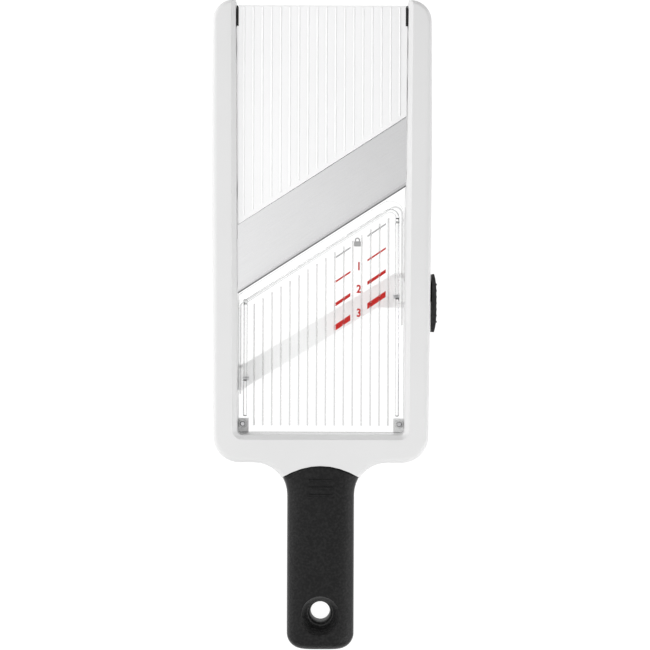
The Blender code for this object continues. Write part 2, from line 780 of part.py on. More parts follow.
def grip():
    """The soft black grip moulded over the tang."""
    front = tongue_front(0, TONGUE_HALF_WIDTH)
    side = [
        *tongue_flank(),
        (GRIP_WIDTH / 2, HANDLE_Y, GRIP_END_CORNER),
    ]
    back = rounded(
        [(front[-1][0], front[-1][1], 0), *side]
        + [(-x, y, r) for x, y, r in reversed(side)]
        + [(front[0][0], front[0][1], 0)],
        8,
    )
    body = prism("handle_grip", front[1:-1] + back, 0, GRIP_THICKNESS)

    def weigh(a, b):
        if abs(a.z - b.z) > BURY:
            return 0
        if min(a.y, b.y) > NECK_END_Y + BURY and max(abs(a.x), abs(b.x)) < TONGUE_HALF_WIDTH * 1.001:
            on_front = abs(a.x - b.x) > abs(a.y - b.y)
            if on_front:
                return 0.12
        return 1

    round_edges(body, GRIP_EDGE, weigh, 6)
    half = GRIP_WIDTH
    under = (NECK_END_Y - GAP, SHOULDER_Y + BEYOND)
    neck_room = box("neck_room", (-half, half), under, (-BEYOND, NECK_SEAT_Z + GAP))
    end = HOLE_Y - HOLE_RADIUS - HOLE_WALL - 2 * GAP - TANG_PAST_HOLE
    room = [
        (TANG_HALF_WIDTH + GAP, NECK_END_Y + BURY, 0),
        (TANG_HALF_WIDTH + GAP, end, TANG_END_CORNER + GAP),
    ]
    tang_room = prism(
        "tang_room", rounded(mirrored(room)), TANG_UNDER - GAP, NECK_SEAT_Z + GAP
    )
    cut(body, neck_room, tang_room)
    mid = (TANG_UNDER + NECK_SEAT_Z) / 2
    reach = (NECK_SEAT_Z - TANG_UNDER) / 2 + 2 * BURY
    wall = rod(
        "hole_wall", (0, HOLE_Y), HOLE_RADIUS + HOLE_WALL, mid - reach, mid + reach, sides=32
    )
    add(body, wall)
    dish_under = rod(
        "dish_under", (0, HOLE_Y), DISH_RADIUS + BURY, -BURY, DISH_DEPTH, "Z",
        HOLE_RADIUS + HOLE_WALL / 2, 32,
    )
    dish_over = rod(
        "dish_over", (0, HOLE_Y), HOLE_RADIUS + HOLE_WALL / 2, GRIP_THICKNESS - DISH_OVER_DEPTH,
        GRIP_THICKNESS + BURY, "Z", DISH_RADIUS + BURY, 32,
    )
    hole = rod(
        "hanging_hole", (0, HOLE_Y), HOLE_RADIUS, -BEYOND, RAIL_TOP + BEYOND, sides=32
    )
    ribs = []
    for k in range(THUMB_RIBS):
        y = SHOULDER_Y - TONGUE_RISE - THUMB_RIBS_FROM_FRONT - k * THUMB_RIB_PITCH
        x = (-THUMB_RIB_HALF_LENGTH, THUMB_RIB_HALF_LENGTH)
        stations = (y - THUMB_RIB_HALF_WIDTH, y + THUMB_RIB_HALF_WIDTH)
        z = (GRIP_THICKNESS - BURY, GRIP_THICKNESS + THUMB_RIB_HEIGHT)
        ribs.append(box("thumb_rib", x, stations, z))
    add(body, gather("thumb_ribs", ribs))
    cut(body, dish_under, dish_over, hole)
    return body


def landing_plate():
    """The white ribbed plate the food slides onto, with the blade's seat under its slanted end."""
    far = FAR_Y - PLATE_END_INSET
    gap = PLATE_SIDE_GAP

    def slanted(distance_near, end_y, gap):
        if end_y is None:
            reach = BLADE_ACROSS + SEAT_BEHIND
            ends = [corner_on(1, reach, gap), corner_on(-1, reach, gap)]
        else:
            half = inner_half(end_y) - gap
            ends = [(half, end_y), (-half, end_y)]
        return [corner_on(-1, distance_near, gap), corner_on(1, distance_near, gap), *ends]

    start = BLADE_ACROSS + GAP
    top = prism("landing_plate", slanted(start, far, gap), PLATE_TOP - PLATE_THICK, PLATE_TOP)

    def weigh(a, b):
        on_top = min(a.z, b.z) > PLATE_TOP - 0.1 * MM
        along_blade = abs(abs((b.y - a.y) / (b.x - a.x)) - BLADE_SLOPE) < 0.05 if a.x != b.x else False
        return 1 if on_top and along_blade else 0

    round_edges(top, PLATE_CHAMFER, weigh, 1)
    seat = prism("blade_seat", slanted(BLADE_OVERHANG, None, gap + SEAT_SIDE_INSET), SEAT_UNDER, SEAT_TOP)
    ribs = []
    for x in rib_row(PLATE_RIB_MARGIN, PLATE_RIB_PITCH):
        half = PLATE_RIB_WIDTH / 2
        near = behind_edge(x, start + PLATE_RIB_FROM_EDGE)
        near_slip = half * BLADE_SLOPE
        z = (PLATE_TOP - BURY, PLATE_TOP + PLATE_RIB_HEIGHT)
        outline = [
            (x - half, near - near_slip),
            (x + half, near + near_slip),
            (x + half, far - BURY),
            (x - half, far - BURY),
        ]
        ribs.append(prism("plate_rib", outline, *z))
    bosses = []
    for x, y, side in plate_fixings():
        low = BRACKET_TOP + GAP
        bosses.append(rod("boss", (x, y), PLATE_BOSS, low, PLATE_TOP - BURY))
    add(top, seat, gather("plate_ribs", ribs), gather("bosses", bosses))
    bores = []
    for x, y, side in plate_fixings():
        bores.append(
            rod("bore", (x, y), SCREW_RADIUS + GAP, BRACKET_TOP - BURY, PLATE_BORE_TOP)
        )
    notches = []
    for side in (-1, 1):
        reach = inner_half(far) - gap
        ends = sorted((side * (reach - FOOT_FIN - GAP), side * (reach + BURY)))
        stations = (far - FOOT_FIN_LENGTH - GAP, far + BURY)
        notches.append(box("fin_notch", ends, stations, (BURY, RAIL_TOP)))
    cut(top, gather("bores_in_plate", bores), gather("fin_notches", notches))
    return top


def blade():
    """The slanted steel blade, ground along its edge, with a fixing tab at each end."""
    lines = []
    for distance in (0, BLADE_ACROSS):
        for side in (-1, 1):
            lines.append(corner_on(side, distance, GAP))
    near_left, near_right, far_left, far_right = lines
    outline = [near_left, near_right]
    for side, corner in ((1, near_right), (-1, far_left)):
        if side < 0:
            outline += [far_right, far_left]
        middle = tab_middle(side)
        reach = side * (NEAR_HALF + BLADE_TAB_REACH)
        root = side * (inner_half(middle) - GAP)
        first = middle - side * BLADE_TAB_HALF
        last = middle + side * BLADE_TAB_HALF
        outline += [(root, first), (reach, first), (reach, last), (root, last)]
    body = prism("blade", outline, BLADE_UNDER, BLADE_TOP)
    half = NEAR_HALF + FAR_OPENING_GAIN
    wedge = [
        (-half, behind_edge(-half, -BURY)),
        (half, behind_edge(half, -BURY)),
        (half, behind_edge(half, BLADE_GRIND)),
        (-half, behind_edge(-half, BLADE_GRIND)),
    ]
    grind = prism("grind", wedge, BLADE_UNDER + 0.12 * MM, BLADE_TOP + BURY)
    slope = (BLADE_THICK - 0.2 * MM) / (BLADE_GRIND + BURY)
    for vertex in grind.data.vertices:
        behind = (vertex.co.y - edge_y(vertex.co.x)) * math.cos(BLADE_ANGLE) + BURY
        if vertex.co.z < BLADE_TOP:
            vertex.co.z = BLADE_UNDER + 0.2 * MM + behind * slope
    holes = []
    for side in (-1, 1):
        for spot in blade_screw_spots(side):
            holes.append(rod("tab_hole", spot, SCREW_RADIUS + GAP, BLADE_UNDER - BURY, RAIL_TOP))
    cut(body, grind, gather("tab_holes", holes))
    return body


def screw_mesh(length):
    """A pan-head screw pointing up, its head's underside level at the origin."""
    head = rod(
        "screw_head", (0, 0), SCREW_HEAD * 0.72, -SCREW_HEAD_THICK, -0.6 * MM,
        top_radius=SCREW_HEAD,
    )
    rim = rod("screw_rim", (0, 0), SCREW_HEAD, -0.7 * MM, 0)
    shank = rod("shank", (0, 0), SCREW_RADIUS, -BURY / 2, length, sides=16)
    point = rod("point", (0, 0), SCREW_RADIUS * 0.98, length - 0.1 * MM, length + 0.7 * MM,
                top_radius=SCREW_RADIUS * 0.5, sides=16)
    add(head, rim, shank, point)
    for turned in (0, 1):
        x = (-1.5 * MM, 1.5 * MM)
        y = (-0.35 * MM, 0.35 * MM)
        if turned:
            x, y = y, x
        cut(head, box("cross", x, y, (-BEYOND, -SCREW_HEAD_THICK + 0.9 * MM)))
    return head


def settled(obj):
    """The object's mesh with its modifiers worked in."""
    graph = bpy.context.evaluated_depsgraph_get()
    return bpy.data.meshes.new_from_object(obj.evaluated_get(graph))


def screws(mat):
    """The four plate screws, the four blade screws and the side grip's screw."""
    under = BRACKET_TOP - BRACKET_THICK - GAP
    wanted = [("plate_screw", under, PLATE_BORE_TOP - under - 1 * MM, [])]
    for x, y, side in plate_fixings():
        wanted[0][3].append((x, y))
    spots = blade_screw_spots(-1) + blade_screw_spots(1)
    length = BLADE_TOP - SCREW_SHELF - 0.4 * MM
    wanted.append(("blade_screw", SCREW_SHELF - GAP, length, spots))
    stem_under = BLOCK_TOP - STEM_HEIGHT
    spot = (side_screw_x(), STEM_Y)
    length = neck_heights()[1] - stem_under - 1.4 * MM
    wanted.append(("side_grip_screw", stem_under - GAP, length, [spot]))
    for name, level, length, spots in wanted:
        source = screw_mesh(length)
        mesh = settled(source)
        source.modifiers.clear()
        source.name = name + "_blank"
        for number, (x, y) in enumerate(spots, 1):
            label = name if len(spots) == 1 else f"{name}_{number}"
            copy = held(label, mesh)
            copy.location = (x, y, level)
            finish(copy, mat, 40)


def side_screw_x():
    """How far out the side grip's screw stands."""
    return NEAR_HALF + WALL + SIDE_SCREW_INSET


def feet(mat):
    """The two rubber feet under the far ends of the rails."""
    for side, name in ((-1, "foot_left"), (1, "foot_right")):
        inner, outer = foot_sides()
        near = FAR_Y - FOOT_LENGTH
        far = FAR_Y - 0.8 * MM
        outline = [
            (side * inner, near, 2 * MM),
            (side * outer, near, 4 * MM),
            (side * outer, far, 0.8 * FAR_CORNER),
            (side * inner, far, 1 * MM),
        ]
        foot = prism(name, rounded(outline, 5), 0, RAIL_FOOT - GAP)
        plug = foot_plug("foot_plug", side, RAIL_FOOT - GAP - BURY, 0)
        plate_far = FAR_Y - PLATE_END_INSET
        fin_outer = inner_half(plate_far) - PLATE_SIDE_GAP
        ends = sorted((side * (fin_outer - FOOT_FIN), side * fin_outer))
        stations = (plate_far - FOOT_FIN_LENGTH, plate_far)
        fin = box("foot_fin", ends, stations, (BURY, PLATE_TOP - 0.4 * MM))
        arm_ends = sorted((side * (fin_outer - FOOT_FIN), side * (inner + 2 * MM)))
        arm = box("foot_arm", arm_ends, stations, (BURY / 2, RAIL_FOOT - GAP))
        add(foot, plug, fin, arm)
        finish(foot, mat)


def foot_sides():
    """How far the foot's inner and outer sides stand from the middle."""
    return inner_half(FAR_Y) + FOOT_INSET[0], outer_half(FAR_Y) - FOOT_INSET[1]


def foot_plug(name, side, low, gap):
    """The plug that stands up into the last hollow of the rail, grown by a gap."""
    middle = side * sum(foot_sides()) / 2
    station = FAR_Y - FAR_CORNER - 3 * RIB - 4 * MM
    half = FOOT_PLUG_HALF + gap
    x = (middle - half, middle + half)
    y = (station - half, station + half)
    return box(name, x, y, (low, RAIL_FOOT + FOOT_PLUG_HEIGHT + gap))


def guide_posts(mat):
    """The two steel posts that keep the ramp level as it rises."""
    for side, name in ((-1, "guide_post_left"), (1, "guide_post_right")):
        low = SHELF_TOP - SHELF_THICK + 1.1 * MM
        post = rod(name, post_spot(side), POST_RADIUS, low, RAMP_TOP - 0.2 * MM)
        finish(post, mat, 40)


def ramp_outline():
    """The ramp's outline in plan."""
    half = NEAR_HALF - RAMP_SIDE_GAP
    near = NEAR_Y + RAMP_NEAR_GAP
    return rounded(
        [
            (-half, near, RAMP_NEAR_CORNER),
            (half, near, RAMP_NEAR_CORNER),
            (half, behind_edge(half, -RAMP_BLADE_GAP), RAMP_CORNER),
            (-half, behind_edge(-half, -RAMP_BLADE_GAP), RAMP_EDGE_CORNER),
        ],
        8,
    )


def skirt(side):
    """One side skirt, its lower edge running down alongside its sloping slot."""
    pin = LEFT_PIN_Y if side < 0 else RIGHT_PIN_Y
    slope = -RAMP_DROP / TRAVEL
    near = NEAR_Y + POST_FROM_NEAR + SKIRT_PAST_POST
    far = pin + TRAVEL + PIN_RADIUS + GAP + SLOT_WALL + 0.3 * MM
    start = pin - SKIRT_RUN_IN
    under = SKIRT_UNDER
    outline = [
        (near, RAMP_UNDER + BURY),
        (near, under + BURY),
        (start, under + BURY),
        (pin, under),
        (pin + TRAVEL, under + slope * TRAVEL),
        (far, under + slope * TRAVEL),
        (far, RAMP_UNDER + BURY),
    ]
    outer = NEAR_HALF - SKIRT_INSET + SKIRT_THICK
    ends = sorted((side * (outer - SKIRT_THICK), side * outer))
    wall = side_prism("skirt", outline, *ends)
    slot = capsule(pin, PIN_Z, pin + TRAVEL, PIN_Z - RAMP_DROP, PIN_RADIUS + GAP)
    ends = sorted((side * (outer - SKIRT_THICK - BURY), side * (outer + BURY)))
    return wall, side_prism("cam_slot", slot, *ends)


def ramp():
    """The clear ribbed ramp, with a skirt down each side and along the blade."""
    body = prism("ramp", ramp_outline(), RAMP_UNDER, RAMP_TOP)
    walls = []
    slots = []
    for side in (-1, 1):
        wall, slot = skirt(side)
        walls.append(wall)
        slots.append(slot)
    inner = NEAR_HALF - SKIRT_INSET + SKIRT_THICK / 2
    front = FRONT_SKIRT_BEHIND
    back = front + FRONT_SKIRT_THICK
    right = inner - SKIRT_THICK
    outline = [
        (-inner, behind_edge(-inner, -back)),
        (right, behind_edge(right, -back)),
        (right, behind_edge(right, -front)),
        (-inner, behind_edge(-inner, -front)),
    ]
    front_skirt = prism("front_skirt", outline, RAMP_UNDER - FRONT_SKIRT_DEPTH, RAMP_UNDER + BURY)
    ribs = []
    near = NEAR_Y + RAMP_RIB_FROM_NEAR
    for x in rib_row(RAMP_RIB_MARGIN, RAMP_RIB_PITCH):
        half = RAMP_RIB_WIDTH / 2
        far = edge_y(x) - RAMP_RIB_FROM_BLADE
        slip = half * BLADE_SLOPE
        outline = [(x - half, near), (x + half, near), (x + half, far + slip), (x - half, far - slip)]
        ribs.append(prism("ramp_rib", outline, RAMP_TOP - BURY, RAMP_TOP + RAMP_RIB_HEIGHT))
    bosses = []
    bores = []
    for side in (-1, 1):
        spot = post_spot(side)
        low = SHELF_TOP + BURY
        bosses.append(rod("post_boss", spot, POST_BOSS, low, RAMP_UNDER + BURY))
        bores.append(rod("boss_bore", spot, POST_RADIUS + GAP, low - BURY, RAIL_TOP))
    add(body, *walls, front_skirt, gather("ramp_ribs", ribs), gather("post_bosses", bosses))
    cut(body, gather("cam_slots", slots), gather("boss_bores", bores))
    return body


def thickness_bar():
    """The slanted bar under the ramp, with an upright block at each end and the stem."""
    half = NEAR_HALF - SKIRT_INSET
    left_y = LEFT_PIN_Y + BAR_LEFT_LEAD
    right_y = RIGHT_PIN_Y + BAR_RIGHT_LEAD
    turn = half - BAR_TURN_INSET
    band = BAR_BAND / 2
    block = NEAR_HALF - GAP
    lower = [(-block, left_y - band - 3 * MM), (-half, left_y - band)]
    end_near = right_y - band - BAR_END_GROWTH
    lower += [(turn, end_near), (block, end_near)]
    skirt_slope = RAMP_DROP / TRAVEL
    room = (SKIRT_UNDER - BAR_TOP - GAP) / skirt_slope
    end_far = RIGHT_PIN_Y + BAR_FAR_SHARE * room
    upper = [(block, end_far), (half, end_far)]
    upper += [(-half, left_y + band), (-block, left_y + band - 2 * MM)]
    body = prism("thickness_bar", lower + upper, BAR_BOTTOM, BAR_TOP)
    z = (BAR_TOP - BURY, BLOCK_TOP)
    inner = block - BLOCK_WIDTH
    left = box("left_block", (-block, -inner), (left_y - band - 2 * MM, left_y + band - 3 * MM), z)
    right = box("right_block", (inner, block), (right_y - band, right_y + band), z)
    stem_z = (BLOCK_TOP - STEM_HEIGHT, BLOCK_TOP)
    reach = side_screw_x() - 2.7 * MM
    stations = (STEM_Y - STEM_HALF, STEM_Y + STEM_HALF)
    stem = box("stem", (block - BURY, reach), stations, stem_z)
    lap_top = neck_heights()[0] - GAP
    lap = box("lap", (reach - BURY, side_screw_x() + 2.8 * MM), stations, (stem_z[0], lap_top))
    add(body, left, right, stem, lap)
    pin_bore = PIN_RADIUS + GAP
    x = (LEFT_PIN_Y, PIN_Z)
    bores = [rod("left_pin_bore", x, pin_bore, -block - BURY, -inner + BURY, "X")]
    x = (RIGHT_PIN_Y, PIN_Z)
    bores.append(rod("right_pin_bore", x, pin_bore, inner - BURY, block + 2.8 * MM, "X"))
    spot = (side_screw_x(), STEM_Y)
    bores.append(rod("lap_bore", spot, SCREW_RADIUS + GAP, stem_z[0] - BURY, lap_top + BURY))
    cut(body, gather("bar_bores", bores))
    return body


def bar_pins(mat):
    """The two steel pins that lift the ramp as the bar slides."""
    inner = NEAR_HALF - SKIRT_INSET - 1.2 * MM
    left_end = NEAR_HALF + WALL + 1.5 * MM
    right_end = NEAR_HALF - GAP + 2.5 * MM
    left = rod("bar_pin_left", (LEFT_PIN_Y, PIN_Z), PIN_RADIUS, -left_end, -inner, "X")
    right = rod("bar_pin_right", (RIGHT_PIN_Y, PIN_Z), PIN_RADIUS, inner, right_end, "X")
    finish(left, mat, 40)
    finish(right, mat, 40)


def side_grip():
    """The black finger grip outside the right rail, with its neck through the rail's slot."""
    inner = outer_half(STEM_Y + TRAVEL + SIDE_GRIP_LENGTH) + GAP
    low, high = neck_heights()
    middle = (low + high) / 2
    centre = STEM_Y - SIDE_GRIP_LAG
    half = SIDE_GRIP_LENGTH / 2
    crown = []
    pieces = 12
    for k in range(pieces + 1):
        share = -1 + 2 * k / pieces
        depth = SIDE_GRIP_PROUD * (1 - 0.55 * share ** 4)
        crown.append((inner + depth, centre + share * half))
    outline = [(inner, centre - half), *crown, (inner, centre + half)]
    z = (middle - SIDE_GRIP_HEIGHT / 2, middle + SIDE_GRIP_HEIGHT / 2)
    body = prism("side_grip", outline, *z)
    stations = (STEM_Y - STEM_HALF, STEM_Y + STEM_HALF)
    neck = box("grip_neck", (side_screw_x() - 2.4 * MM, inner + BURY), stations, (low, high))
    ribs = []
    for k in range(-3, 4):
        y = centre + k * 3.6 * MM
        x = (inner + SIDE_GRIP_PROUD * 0.9, inner + SIDE_GRIP_PROUD + 0.35 * MM)
        ribs.append(box("finger_rib", x, (y - 0.5 * MM, y + 0.5 * MM), (z[0] + 2 * MM, z[1] - 2 * MM)))
    posts = []
    for k in (-1, 1):
        spot = (side_screw_x() - 0.8 * MM, STEM_Y + k * (STEM_HALF - 1.2 * MM))
        posts.append(rod("spring_post", spot, 0.8 * MM, high - BURY, high + 2.6 * MM, sides=12))
    bore = rod(
        "grip_bore", (side_screw_x(), STEM_Y), SCREW_RADIUS + GAP, low - BURY, high - 0.6 * MM
    )
    add(body, neck, gather("finger_ribs", ribs), gather("spring_posts", posts))
    cut(body, bore)
    return body


def detent_spring():
    """The bent steel strip on the grip's neck that clicks into the comb."""
    wall = outer_half(STEM_Y) - WALL
    tip = wall - GAP - 0.1 * MM
    rest = side_screw_x() + 0.8 * MM
    thick = SPRING_THICK
    path = [
        (rest, -STEM_HALF - 3 * MM), (rest, -STEM_HALF + 1.5 * MM), (rest + 0.9 * MM, -2.2 * MM),
        (tip - 1.0 * MM, -1.1 * MM), (tip, -0.4 * MM), (tip, 0.4 * MM), (tip - 1.0 * MM, 1.1 * MM),
        (rest + 0.9 * MM, 2.2 * MM), (rest, STEM_HALF - 1.5 * MM), (rest, STEM_HALF + 3 * MM),
    ]
    outer = [(x, STEM_Y + y) for x, y in path]
    inner = [(x - thick, STEM_Y + y) for x, y in reversed(path)]
    low = neck_heights()[1] + GAP
    return prism("detent_spring", outer + inner, low, low + SPRING_HEIGHT)


def build():
    white = material("white_plastic", WHITE, 0.42)
    black = material("black_soft", BLACK, 0.7)
    clear = material("clear_plastic", CLEAR, 0.08, transmission=0.9)
    steel = material("blade_steel", STEEL, 0.28, metallic=1)
    fastener = material("fastener_steel", STEEL, 0.35, metallic=1)
    spring = material("spring_steel", STEEL, 0.3, metallic=1)
    rubber = material("foot_rubber", BLACK, 0.8)
    finish(frame(), white, 25)
    finish(grip(), black, 35)
    finish(landing_plate(), material("plate_plastic", WHITE, 0.38))
    finish(blade(), steel)
    finish(ramp(), clear, 25)
    finish(thickness_bar(), material("bar_plastic", WHITE, 0.5))
    finish(side_grip(), material("side_grip_plastic", BLACK, 0.55), 25)
    finish(detent_spring(), spring)
    bar_pins(fastener)
    guide_posts(fastener)
    feet(rubber)
    screws(fastener)


build()
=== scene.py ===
# %% [markdown]
# # A hand-held mandoline slicer, dressed for its portrait
# The tool lies on a pale table, handle towards -Y and open end towards +Y. Food is pushed over
# the clear ramp, meets the slanted blade, and its slice drops under the white landing plate.
# The solid model comes in as a fixed frame of bodies; everything made here rides on one of them.

# %% Load the solid model
import math
import bmesh
import bpy
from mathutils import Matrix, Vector


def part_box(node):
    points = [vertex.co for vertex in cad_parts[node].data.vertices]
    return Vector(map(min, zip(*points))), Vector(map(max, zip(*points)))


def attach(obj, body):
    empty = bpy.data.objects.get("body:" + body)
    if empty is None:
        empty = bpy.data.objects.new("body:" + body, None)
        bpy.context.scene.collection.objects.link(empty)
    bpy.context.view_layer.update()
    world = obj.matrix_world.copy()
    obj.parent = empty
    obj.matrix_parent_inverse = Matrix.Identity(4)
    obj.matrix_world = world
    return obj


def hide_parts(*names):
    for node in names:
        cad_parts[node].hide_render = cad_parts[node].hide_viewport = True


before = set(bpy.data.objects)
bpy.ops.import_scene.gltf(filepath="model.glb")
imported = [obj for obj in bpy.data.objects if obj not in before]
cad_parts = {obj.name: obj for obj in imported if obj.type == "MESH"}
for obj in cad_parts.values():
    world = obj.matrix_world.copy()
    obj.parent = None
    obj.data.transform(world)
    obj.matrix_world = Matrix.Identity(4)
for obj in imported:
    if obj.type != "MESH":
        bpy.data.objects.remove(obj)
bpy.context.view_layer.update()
MM = 0.001

# %% [markdown]
# ## Where the main stations are
# Every size below is read from the solid model's own boxes, so a piece made here lands on the
# piece it stands for. Only shapes that a box can't tell, such as the blade's slant, are stated.

# %% Measure the solid model
frame_low, frame_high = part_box("frame")
grip_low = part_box("handle_grip")[0]
plate_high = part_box("landing_plate")[1]
ramp_low, ramp_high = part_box("ramp")
blade_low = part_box("blade")[0]
CENTRE_X = (frame_low.x + frame_high.x) / 2
RAIL_TOP = frame_high.z
FAR_Y = frame_high.y
HANDLE_Y = grip_low.y
BLADE_ANGLE = math.radians(32.7)
BLADE_SLOPE = math.tan(BLADE_ANGLE)
NEAR_HALF = 48.4 * MM
FAR_HALF = 49.9 * MM
EDGE_MID_Y = 48.82 * MM
EDGE_LEFT_Y = EDGE_MID_Y - NEAR_HALF * BLADE_SLOPE
RIB_RISE = 0.5 * MM
PLATE_TOP = plate_high.z - RIB_RISE
RAMP_TOP = ramp_high.z - RIB_RISE
print("rail top", round(RAIL_TOP, 4), "centre", round(CENTRE_X, 5), "plate top", round(PLATE_TOP, 4))

# %% [markdown]
# ## The camera
# A catalogue shows this tool straight from above with a long lens, so that the rails stay
# parallel. The camera hangs 0.8 m over the rails and turns a fifth of a degree, because the
# tool lies very slightly askew.

# %% Camera
CAMERA_HEIGHT = 800 * MM
CAMERA_ASIDE = 2.2 * MM
CAMERA_TURN = math.radians(0.2)
SEEN_WIDTH = 373.2 * MM
sight = bpy.data.cameras.new("overhead_camera")
sight.sensor_width = 36.0
sight.lens = sight.sensor_width * CAMERA_HEIGHT / SEEN_WIDTH
camera = bpy.data.objects.new("overhead_camera", sight)
camera.location = (CENTRE_X + CAMERA_ASIDE, 0.0, RAIL_TOP + CAMERA_HEIGHT)
camera.rotation_euler = (0, 0, CAMERA_TURN)
bpy.context.scene.collection.objects.link(camera)
bpy.context.scene.camera = camera
bpy.context.scene.view_settings.view_transform = "Standard"
print("lens", round(sight.lens, 1), "mm")

# %% [markdown]
# ## Soft studio light
# A white tent lights white plastic best. Its colour is graded two ways: brighter overhead than
# near the table, so that the flat steel reads bright, and darker towards the far right, so that
# the steel fades across its length. Two low side panels then lift every slanted face above the
# flat ones, and two small keys close by model the rails.

# %% World
tent = bpy.data.worlds.new("light_tent")
tent.use_nodes = True
tent_nodes = tent.node_tree.nodes
tent_links = tent.node_tree.links
tent_place = tent_nodes.new("ShaderNodeTexCoord")
tent_split = tent_nodes.new("ShaderNodeSeparateXYZ")
tent_links.new(tent_place.outputs["Generated"], tent_split.inputs[0])
tent_height = tent_nodes.new("ShaderNodeMapRange")
tent_height.inputs["To Min"].default_value = 0.32
tent_links.new(tent_split.outputs["Z"], tent_height.inputs["Value"])
tent_side = tent_nodes.new("ShaderNodeVectorMath")
tent_side.operation = "DOT_PRODUCT"
tent_side.inputs[1].default_value = (0.95, 0.3, 0.0)
tent_links.new(tent_place.outputs["Generated"], tent_side.inputs[0])
tent_fall = tent_nodes.new("ShaderNodeMapRange")
tent_fall.interpolation_type = "SMOOTHSTEP"
tent_fall.inputs["From Min"].default_value = -0.16
tent_fall.inputs["From Max"].default_value = 0.14
tent_fall.inputs["To Min"].default_value = 1.0
tent_fall.inputs["To Max"].default_value = 0.46
tent_links.new(tent_side.outputs["Value"], tent_fall.inputs["Value"])
tent_both = tent_nodes.new("ShaderNodeMath")
tent_both.operation = "MULTIPLY"
tent_links.new(tent_height.outputs[0], tent_both.inputs[0])
tent_links.new(tent_fall.outputs[0], tent_both.inputs[1])
tent_links.new(tent_both.outputs[0], tent_nodes["Background"].inputs["Color"])
tent_nodes["Background"].inputs["Strength"].default_value = 1.15
bpy.context.scene.world = tent
print("tent graded by height and side")


# %% Lamps
def soft_panel(name, place, target, size, power):
    """A square softbox at place, turned to face target."""
    lamp = bpy.data.lights.new(name, "AREA")
    lamp.shape = "RECTANGLE"
    lamp.size, lamp.size_y = size
    lamp.energy = power
    panel = bpy.data.objects.new(name, lamp)
    panel.location = place
    panel.rotation_euler = (Vector(target) - Vector(place)).to_track_quat("-Z", "Y").to_euler()
    bpy.context.scene.collection.objects.link(panel)
    return panel


soft_panel("panel_left", (-1.2, 0.0, 0.34), (0, 0, 0), (1.6, 0.35), 3.5)
soft_panel("panel_right", (1.2, -0.35, 0.34), (0, -0.1, 0), (1.2, 0.35), 6)
soft_panel("key_left", (-0.5, 0.12, 0.42), (-0.02, 0, 0), (0.3, 0.3), 1.1)
soft_panel("key_near", (0.4, -0.42, 0.42), (0.02, -0.06, 0), (0.3, 0.3), 1.0)
print("two panels and two keys up")

# %% [markdown]
# ## Small tools for node trees
# Node trees are easier to read when a sum is one line. `feed` puts a number or a link into a
# socket, `calc` adds one Math node, and `put` adds any other node with its settings and inputs.
# The rest are short forms of what every material here does.

# %% Node helpers
def feed(tree, socket, value):
    """Link another node's output into the socket, or set its plain value."""
    if isinstance(value, bpy.types.NodeSocket):
        tree.links.new(value, socket)
    else:
        socket.default_value = value


def calc(tree, operation, *values, clamp=False):
    """One Math node; returns its result."""
    node = tree.nodes.new("ShaderNodeMath")
    node.operation = operation
    node.use_clamp = clamp
    for socket, value in zip(node.inputs, values):
        feed(tree, socket, value)
    return node.outputs[0]


def put(tree, kind, settings=None, **inputs):
    """A node of this kind with its settings, and inputs named with _ for a space."""
    node = tree.nodes.new(kind)
    for key, value in (settings or {}).items():
        setattr(node, key, value)
    for key, value in inputs.items():
        feed(tree, node.inputs[key.replace("_", " ")], value)
    return node


def layer(tree, group, **inputs):
    """One of the shared shader groups, with these inputs."""
    return put(tree, "ShaderNodeGroup", {"node_tree": group}, **inputs)


def place_in(tree):
    """The place on the piece itself, which every pattern follows."""
    return tree.nodes.new("ShaderNodeTexCoord").outputs["Object"]


def noise(tree, place, scale, detail):
    """The value of a noise pattern."""
    return put(tree, "ShaderNodeTexNoise", Vector=place, Scale=scale, Detail=detail).outputs["Fac"]


def ranged(tree, value, low, high, start=0.0, end=1.0, curve="LINEAR"):
    """A value between start and end, carried over to between low and high."""
    settings = {"interpolation_type": curve}
    span = {"From_Min": start, "From_Max": end, "To_Min": low, "To_Max": high}
    return put(tree, "ShaderNodeMapRange", settings, Value=value, **span).outputs[0]


def toned(tree, color, factor):
    """A colour made lighter or darker by a factor."""
    node = put(tree, "ShaderNodeVectorMath", {"operation": "SCALE"}, Scale=factor)
    node.inputs[0].default_value = color
    return node.outputs[0]


def blended(tree, factor, first, second):
    """Two colours mixed by a factor."""
    node = put(tree, "ShaderNodeMix", {"data_type": "RGBA"}, Factor=factor)
    feed(tree, node.inputs[6], first)
    feed(tree, node.inputs[7], second)
    return node.outputs[2]


def relief(tree, height, strength, distance, normal=None):
    """A bump from this height, starting from this normal."""
    bump = put(tree, "ShaderNodeBump", Height=height, Strength=strength, Distance=distance)
    if normal:
        feed(tree, bump.inputs["Normal"], normal)
    return bump.outputs[0]


def new_material(name, color, see_through=1):
    """A material, its node tree and its shader."""
    mat = bpy.data.materials.new(name)
    mat.use_nodes = True
    mat.diffuse_color = (*color, see_through)
    return mat, mat.node_tree, mat.node_tree.nodes["Principled BSDF"]


def new_group(name, kind, inputs, outputs):
    """An empty node group with named sockets (name, type, default)."""
    tree = bpy.data.node_groups.new(name, kind)
    for label, sort, default in inputs:
        socket = tree.interface.new_socket(label, in_out="INPUT", socket_type=sort)
        if default is not None:
            socket.default_value = default
    for label, sort in outputs:
        tree.interface.new_socket(label, in_out="OUTPUT", socket_type=sort)
    return tree, tree.nodes.new("NodeGroupInput").outputs, tree.nodes.new("NodeGroupOutput").inputs


FLOAT = "NodeSocketFloat"
print("node helpers ready")

# %% [markdown]
# ## Moulded skin
# Injection-moulded plastic is never quite even. The steel mould gives it a fine eroded grain, the
# melt cools at different speeds and leaves slow drifts in gloss, and the colour varies a little.
# All the plastics share one group for this, each with its own scale and depth.

